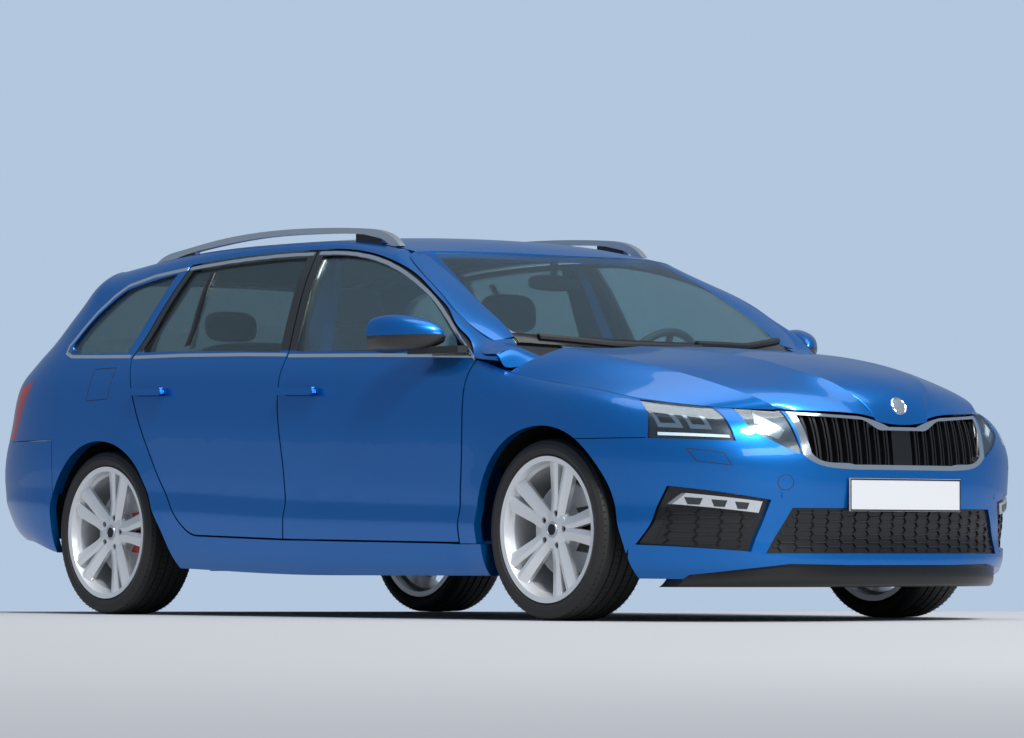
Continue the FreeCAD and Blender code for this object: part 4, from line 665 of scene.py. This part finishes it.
# A smooth skin through rows of points, on both sides of the car
def skinPair(name, rows):
    width = len(rows[0])
    points = [spot(*point) for row in rows for point in row]
    faces = []
    for row in range(len(rows) - 1):
        for column in range(width - 1):
            first = row * width + column
            faces.append((first, first + 1, first + width + 1, first + width))
    mesh = bpy.data.meshes.new(name)
    mesh.from_pydata([tuple(point) for point in points], [], faces)
    rough = bpy.data.objects.new(name, mesh)
    bpy.context.scene.collection.objects.link(rough)
    modifier = rough.modifiers.new("smooth", "SUBSURF")
    modifier.levels = modifier.render_levels = 2
    done = bpy.data.meshes.new_from_object(rough.evaluated_get(bpy.context.evaluated_depsgraph_get()))
    bpy.data.objects.remove(rough)
    points = [vertex.co.copy() for vertex in done.vertices]
    faces = [tuple(polygon.vertices) for polygon in done.polygons]
    mirroredPair(name + "_%s", (points, faces), "body_paint", chassis)


# The painted pillar beside the windscreen: station, outer edge, inner edge
pillar = [
    (455, (-722, 981), (-640, 1001)), (480, (-732, 995), (-637, 1018)), (520, (-752, 1021), (-635, 1045)),
    (560, (-764, 1049), (-633, 1072)), (640, (-768, 1100), (-631, 1116)), (720, (-747, 1150), (-622, 1164)),
    (800, (-730, 1194), (-604, 1209)), (880, (-710, 1232), (-584, 1250)), (960, (-680, 1268), (-562, 1290)),
    (1040, (-652, 1305), (-534, 1330)), (1085, (-628, 1326), (-524, 1346)),
]
pillarCrown = 6.0
pillarRows = []
for s, (xa, za), (xb, zb) in pillar:
    pillarRows.append([(xa + share * (xb - xa), s,
                        za + share * (zb - za) + pillarCrown * 4 * share * (1 - share))
                       for share in (0.0, 0.3, 0.7, 1.0)])
skinPair("pillar_skin", pillarRows)

# Its foot, row by row from the hood's rear corner back to the pillar
footRows = [
    [(-848, 264, 880), (-808, 257, 884), (-765, 248, 890), (-724, 240, 896), (-684, 236, 905)],
    [(-853, 277, 920), (-812, 271, 928), (-768, 263, 930), (-726, 256, 924), (-684, 251, 920)],
    [(-859, 290, 932), (-815, 286, 955), (-772, 284, 959), (-728, 284, 951), (-684, 284, 936)],
    [(-856, 330, 932), (-815, 330, 957), (-774, 330, 965), (-732, 330, 962), (-686, 330, 948)],
    [(-852, 372, 933), (-815, 375, 957), (-775, 375, 969), (-735, 375, 972), (-680, 375, 962)],
    [(-838, 402, 948), (-812, 408, 960), (-775, 412, 973), (-735, 416, 980), (-672, 420, 976)],
    [(-796, 445, 978), (-778, 450, 982), (-755, 455, 986), (-725, 458, 988), (-642, 458, 1001)],
]
skinPair("pillar_foot", footRows)
print("pillars ready")


# Dark linings inside: the roof's, and one in each door
cabin = {"roofFrom": 1000, "doorFrom": -500, "roofGap": 4.0, "doorGap": 3.0,
         "roof": [(-520, 1180), (520, 1180), (520, 3200), (-520, 3200)],
         "front": [(500, 880), (1470, 880), (1470, 360), (500, 360)],
         "rear": [(1600, 880), (2180, 880), (2180, 360), (1600, 360)]}
lining = plainMaterial("lining_dark", (0.016, 0.017, 0.019), 0.85)


def fromBelow(tree, x, s):
    up = Vector((0, 0, 1))
    return tree.ray_cast(spot(x, s, cabin["roofFrom"]), up)[0], up


def fromInside(tree, s, z):
    outward = Vector((-1, 0, 0))
    return tree.ray_cast(spot(cabin["doorFrom"], s, z), outward)[0], outward


points, faces = patch(cabin["roof"], surface("roof_panel"), fromBelow, cabin["roofGap"], columns=16, rows=24)
addPiece("headliner", points, faces, lining, "chassis")
for end, tree, bodies in (("front", frontDoor, frontBodies), ("rear", rearDoor, rearBodies)):
    mirroredPair("door_lining_" + end + "_%s", patch(cabin[end], tree, fromInside, cabin["doorGap"]), lining,
                 bodies)
print("linings ready")

# Black feet under the roof rails
rail = {"xOuter": -595.6, "xInner": -572.4,
        "front": [(1282, 1372), (1292, 1394), (1409, 1417), (1446, 1421), (1446, 1380)],
        "rear": [(2472, 1372), (2472, 1399), (2560, 1387), (2664, 1362), (2600, 1352)]}
for name in ("front", "rear"):
    outline = rail[name]
    for side, sign in (("right", 1), ("left", -1)):
        points = [spot(sign * rail["xOuter"], s, z) for s, z in outline]
        points += [spot(sign * rail["xInner"], s, z) for s, z in outline]
        count = len(outline)
        faces = [tuple(range(count)), tuple(reversed(range(count, 2 * count)))]
        faces += [(i, (i + 1) % count, count + (i + 1) % count, count + i) for i in range(count)]
        addPiece("rail_foot_%s_%s" % (name, side), points, faces, "gloss_black", "chassis",
                 smooth=False)
print("rail feet ready")


cushion = {"bolsterFrom": 0.62, "bolsterDrop": 0.35, "fill": 0.7}


# Seat cushions: rounded boxes with crowned faces and side bolsters
def cushionShape(low, high, lean=0.0, crown=0.12, bolster=0.0, squareness=5.0, cells=14):
    centre = [(a + b) / 2 for a, b in zip(low, high)]
    half = [(b - a) / 2 for a, b in zip(low, high)]
    work = bmesh.new()
    bmesh.ops.create_cube(work, size=2.0)
    bmesh.ops.subdivide_edges(work, edges=work.edges[:], cuts=cells, use_grid_fill=True)
    for vertex in work.verts:
        x, y, z = vertex.co
        length = (abs(x) ** squareness + abs(y) ** squareness + abs(z) ** squareness) ** (1 / squareness)
        x, y, z = x / length, y / length, z / length
        pull = 1 - crown * (1 - math.cos(math.pi * min(1.0, max(abs(x), abs(z)))) * 0.5 - 0.5)
        rise = max(0.0, abs(x) - cushion["bolsterFrom"]) / (1 - cushion["bolsterFrom"])
        side = bolster * (rise ** 2 - cushion["bolsterDrop"])
        if half[1] <= half[2]:  # a back or a headrest, crowned towards the nose
            y *= pull
            y -= side if y < 0 else 0
        else:
            z *= pull
            z += side if z > 0 else 0
        x, y, z = x * half[0], y * half[1], z * half[2]
        vertex.co = (centre[0] + x, centre[1] + y + lean * z, centre[2] + z)
    mesh = bpy.data.meshes.new("cushion")
    work.to_mesh(mesh)
    work.free()
    return [spot(*vertex.co) for vertex in mesh.vertices], [tuple(face.vertices) for face in mesh.polygons]


def seatPiece(name, low, high, **options):
    points, faces = cushionShape(low, high, **options)
    made = addPiece(name, points, faces, "seat_fabric", "chassis")
    return made


for side, x in (("right", -376), ("left", 376)):
    seat = seatPiece("front_cushion_" + side, (x - 236, 1052, 432), (x + 236, 1558, 562), bolster=0.25)
    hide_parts("front_seats")
    seatPiece("front_back_" + side, (x - 218, 1560, 530), (x + 218, 1690, 1082), lean=0.27, bolster=0.35)
    seatPiece("front_head_" + side, (x - 126, 1702, 1088), (x + 126, 1788, 1238), lean=0.10, squareness=3.2)
bench = seatPiece("rear_bench", (-588, 1952, 434), (588, 2438, 580), bolster=0.1)
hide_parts("rear_seat")
seatPiece("rear_back", (-584, 2420, 565), (584, 2520, 1060), lean=0.28, bolster=0.1)
for side, x in (("right", -370), ("left", 370)):
    seatPiece("rear_head_" + side, (x - 116, 2506, 1058), (x + 116, 2588, 1178), lean=0.10, squareness=3.2)
print("seats ready")

# The windscreen's black lower border, the wipers on it and the mirror behind it
screen = {"borderWidth": 36.0, "borderProud": 1.0, "aboveEdge": 22, "reach": 640, "step": 40,
          "searchFrom": 900.0, "searchTo": 1100}
screenSkin = surface("windscreen")
lowEdge = []
for x in range(-screen["reach"], screen["reach"] + 1, screen["step"]):
    z = screen["searchFrom"]
    while z < screen["searchTo"] and fromFront(screenSkin, x, z)[0] is None:
        z += searchStep
    lowEdge.append((x, z + screen["aboveEdge"]))
points, faces = ribbon(lowEdge, screen["borderWidth"], screen["borderProud"], screenSkin, fromFront,
                       step=screen["step"], sink=0.5)
addPiece("screen_border", points, faces, "gloss_black", "chassis")
wiper = {"width": 16.0, "proud": 14.0, "clear": 2}
for name, path in (("wiper_right", [(-560, 1000), (-300, 975), (60, 969)]),
                   ("wiper_left", [(60, 985), (330, 985), (640, 1020)])):
    points, faces = ribbon(path, wiper["width"], wiper["proud"], screenSkin, fromFront,
                           step=screen["step"], sink=-wiper["clear"])
    addPiece(name, points, faces, "black_plastic", "chassis")
points, faces = cushionShape((-120, 1000, 1208), (120, 1030, 1268), squareness=3.0, crown=0.0)
addPiece("cabin_mirror", points, faces, "gloss_black", "chassis")
points, faces = cushionShape((-14, 1000, 1262), (14, 1026, 1335), squareness=3.0, crown=0.0, cells=6)
addPiece("cabin_mirror_stem", points, faces, "gloss_black", "chassis")
print("screen and mirror ready")

# Blank plates set a little behind their thin black frames
plateBorder = {"inset": 0.001, "band": 0.005, "behind": 0.001}
plateSkin = frame["nodes"]["number_plates"].data
for end in ("front", "rear"):
    corners = [vertex.co for vertex in plateSkin.vertices if (vertex.co.y < 0) == (end == "front")]
    low = Vector([min(point[axis] for point in corners) for axis in range(3)])
    high = Vector([max(point[axis] for point in corners) for axis in range(3)])
    y = low.y if end == "front" else high.y
    inset, band = plateBorder["inset"], plateBorder["inset"] + plateBorder["band"]
    points = [Vector((x, y, z)) for edge in (inset, band)
              for x, z in ((low.x + edge, low.z + edge), (high.x - edge, low.z + edge),
                           (high.x - edge, high.z - edge), (low.x + edge, high.z - edge))]
    faces = [(i, (i + 1) % 4, 4 + (i + 1) % 4, 4 + i) for i in range(4)]
    addPiece("plate_frame_" + end, points, faces, "black_plastic", "chassis", smooth=False)
    if end == "front":
        low.y += plateBorder["behind"]
    else:
        high.y -= plateBorder["behind"]
    points = [Vector((x, y, z)) for x in (low.x, high.x) for y in (low.y, high.y) for z in (low.z, high.z)]
    plate = addPiece("plate_" + end, points, boxFaces, "plate_white", "chassis", smooth=False)
    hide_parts("number_plates")
print("plates ready")

# Studio: pale floor, soft lights, the photo's camera
studio = {"floor": (0.47, 0.47, 0.48), "floorRough": 0.8, "sky": (0.45, 0.57, 0.73),
          "fill": (0.55, 0.68, 0.86), "fillStrength": 0.42,
          "behind": -20, "reach": 20.8, "beyond": 60.0, "fall": 0.02, "halfWidth": 40}
camera = {"place": (-12.097, -15.114, 0.215), "yaw": 0.889208, "pitch": 0.037, "lens": 180.0, "sensor": 36.0,
          "farthest": 200.0}
ahead = Vector((math.cos(camera["yaw"]), math.sin(camera["yaw"]), 0))
aside = Vector((ahead.y, -ahead.x, 0))
underCamera = Vector((*camera["place"][:2], 0))

# The floor falls away gently just behind the car, so its edge stands where the photo's does
floorPoints = []
for along in (studio["behind"], studio["reach"], studio["reach"] + studio["beyond"]):
    drop = Vector((0, 0, studio["fall"] * min(0, studio["reach"] - along)))
    floorPoints += [underCamera + ahead * along + aside * across + drop
                    for across in (-studio["halfWidth"], studio["halfWidth"])]
floorMesh = bpy.data.meshes.new("floor")
floorMesh.from_pydata([tuple(point) for point in floorPoints], [], [(0, 1, 3, 2), (2, 3, 5, 4)])
floorMesh.materials.append(plainMaterial("floor", studio["floor"], studio["floorRough"]))
floor = bpy.data.objects.new("floor", floorMesh)
bpy.context.scene.collection.objects.link(floor)

world = bpy.data.worlds.new("studio")
bpy.context.scene.world = world
world.use_nodes = True
worldTree = world.node_tree
back = worldTree.nodes["Background"]
back.inputs["Color"].default_value = (*studio["fill"], 1)
back.inputs["Strength"].default_value = studio["fillStrength"]
seen = worldTree.nodes.new("ShaderNodeBackground")
seen.inputs["Color"].default_value = (*studio["sky"], 1)
seen.inputs["Strength"].default_value = 1.0
path = worldTree.nodes.new("ShaderNodeLightPath")
pick = worldTree.nodes.new("ShaderNodeMixShader")
worldTree.links.new(path.outputs["Is Camera Ray"], pick.inputs["Fac"])
worldTree.links.new(back.outputs["Background"], pick.inputs[1])
worldTree.links.new(seen.outputs["Background"], pick.inputs[2])
worldTree.links.new(pick.outputs["Shader"], worldTree.nodes["World Output"].inputs["Surface"])

# Soft lights: name, place, width, depth, power
lamps = [
    ("overheadLight", (0.5, -2.0, 7.0), 4.0, 8.0, 200.0),
    ("frontLight", (-2.0, -11.0, 4.0), 6.0, 2.0, 260.0),
]
lampTarget = Vector((0, 0, 0.6))
for name, place, width, depth, power in lamps:
    light = bpy.data.lights.new(name, "AREA")
    light.shape = "RECTANGLE"
    light.size = width
    light.size_y = depth
    light.energy = power
    lamp = bpy.data.objects.new(name, light)
    lamp.location = place
    lamp.rotation_euler = (lampTarget - Vector(place)).to_track_quat("-Z", "Y").to_euler()
    bpy.context.scene.collection.objects.link(lamp)
softSun = {"strength": 3.0, "angle": 0.25, "travels": (0.16, 0.62, -0.78)}
sun = bpy.data.lights.new("softSun", "SUN")
sun.energy = softSun["strength"]
sun.angle = softSun["angle"]
sunLamp = bpy.data.objects.new("softSun", sun)
sunLamp.rotation_euler = Vector(softSun["travels"]).to_track_quat("-Z", "Y").to_euler()
bpy.context.scene.collection.objects.link(sunLamp)

lens = bpy.data.cameras.new("photoCamera")
lens.sensor_width = camera["sensor"]
lens.lens = camera["lens"]
lens.clip_end = camera["farthest"]
viewer = bpy.data.objects.new("photoCamera", lens)
forward = Vector((math.cos(camera["pitch"]) * math.cos(camera["yaw"]),
                  math.cos(camera["pitch"]) * math.sin(camera["yaw"]), math.sin(camera["pitch"])))
viewer.location = camera["place"]
viewer.rotation_euler = forward.to_track_quat("-Z", "Y").to_euler()
bpy.context.scene.collection.objects.link(viewer)
bpy.context.scene.camera = viewer
bpy.context.scene.view_settings.view_transform = "Standard"
print("studio ready")
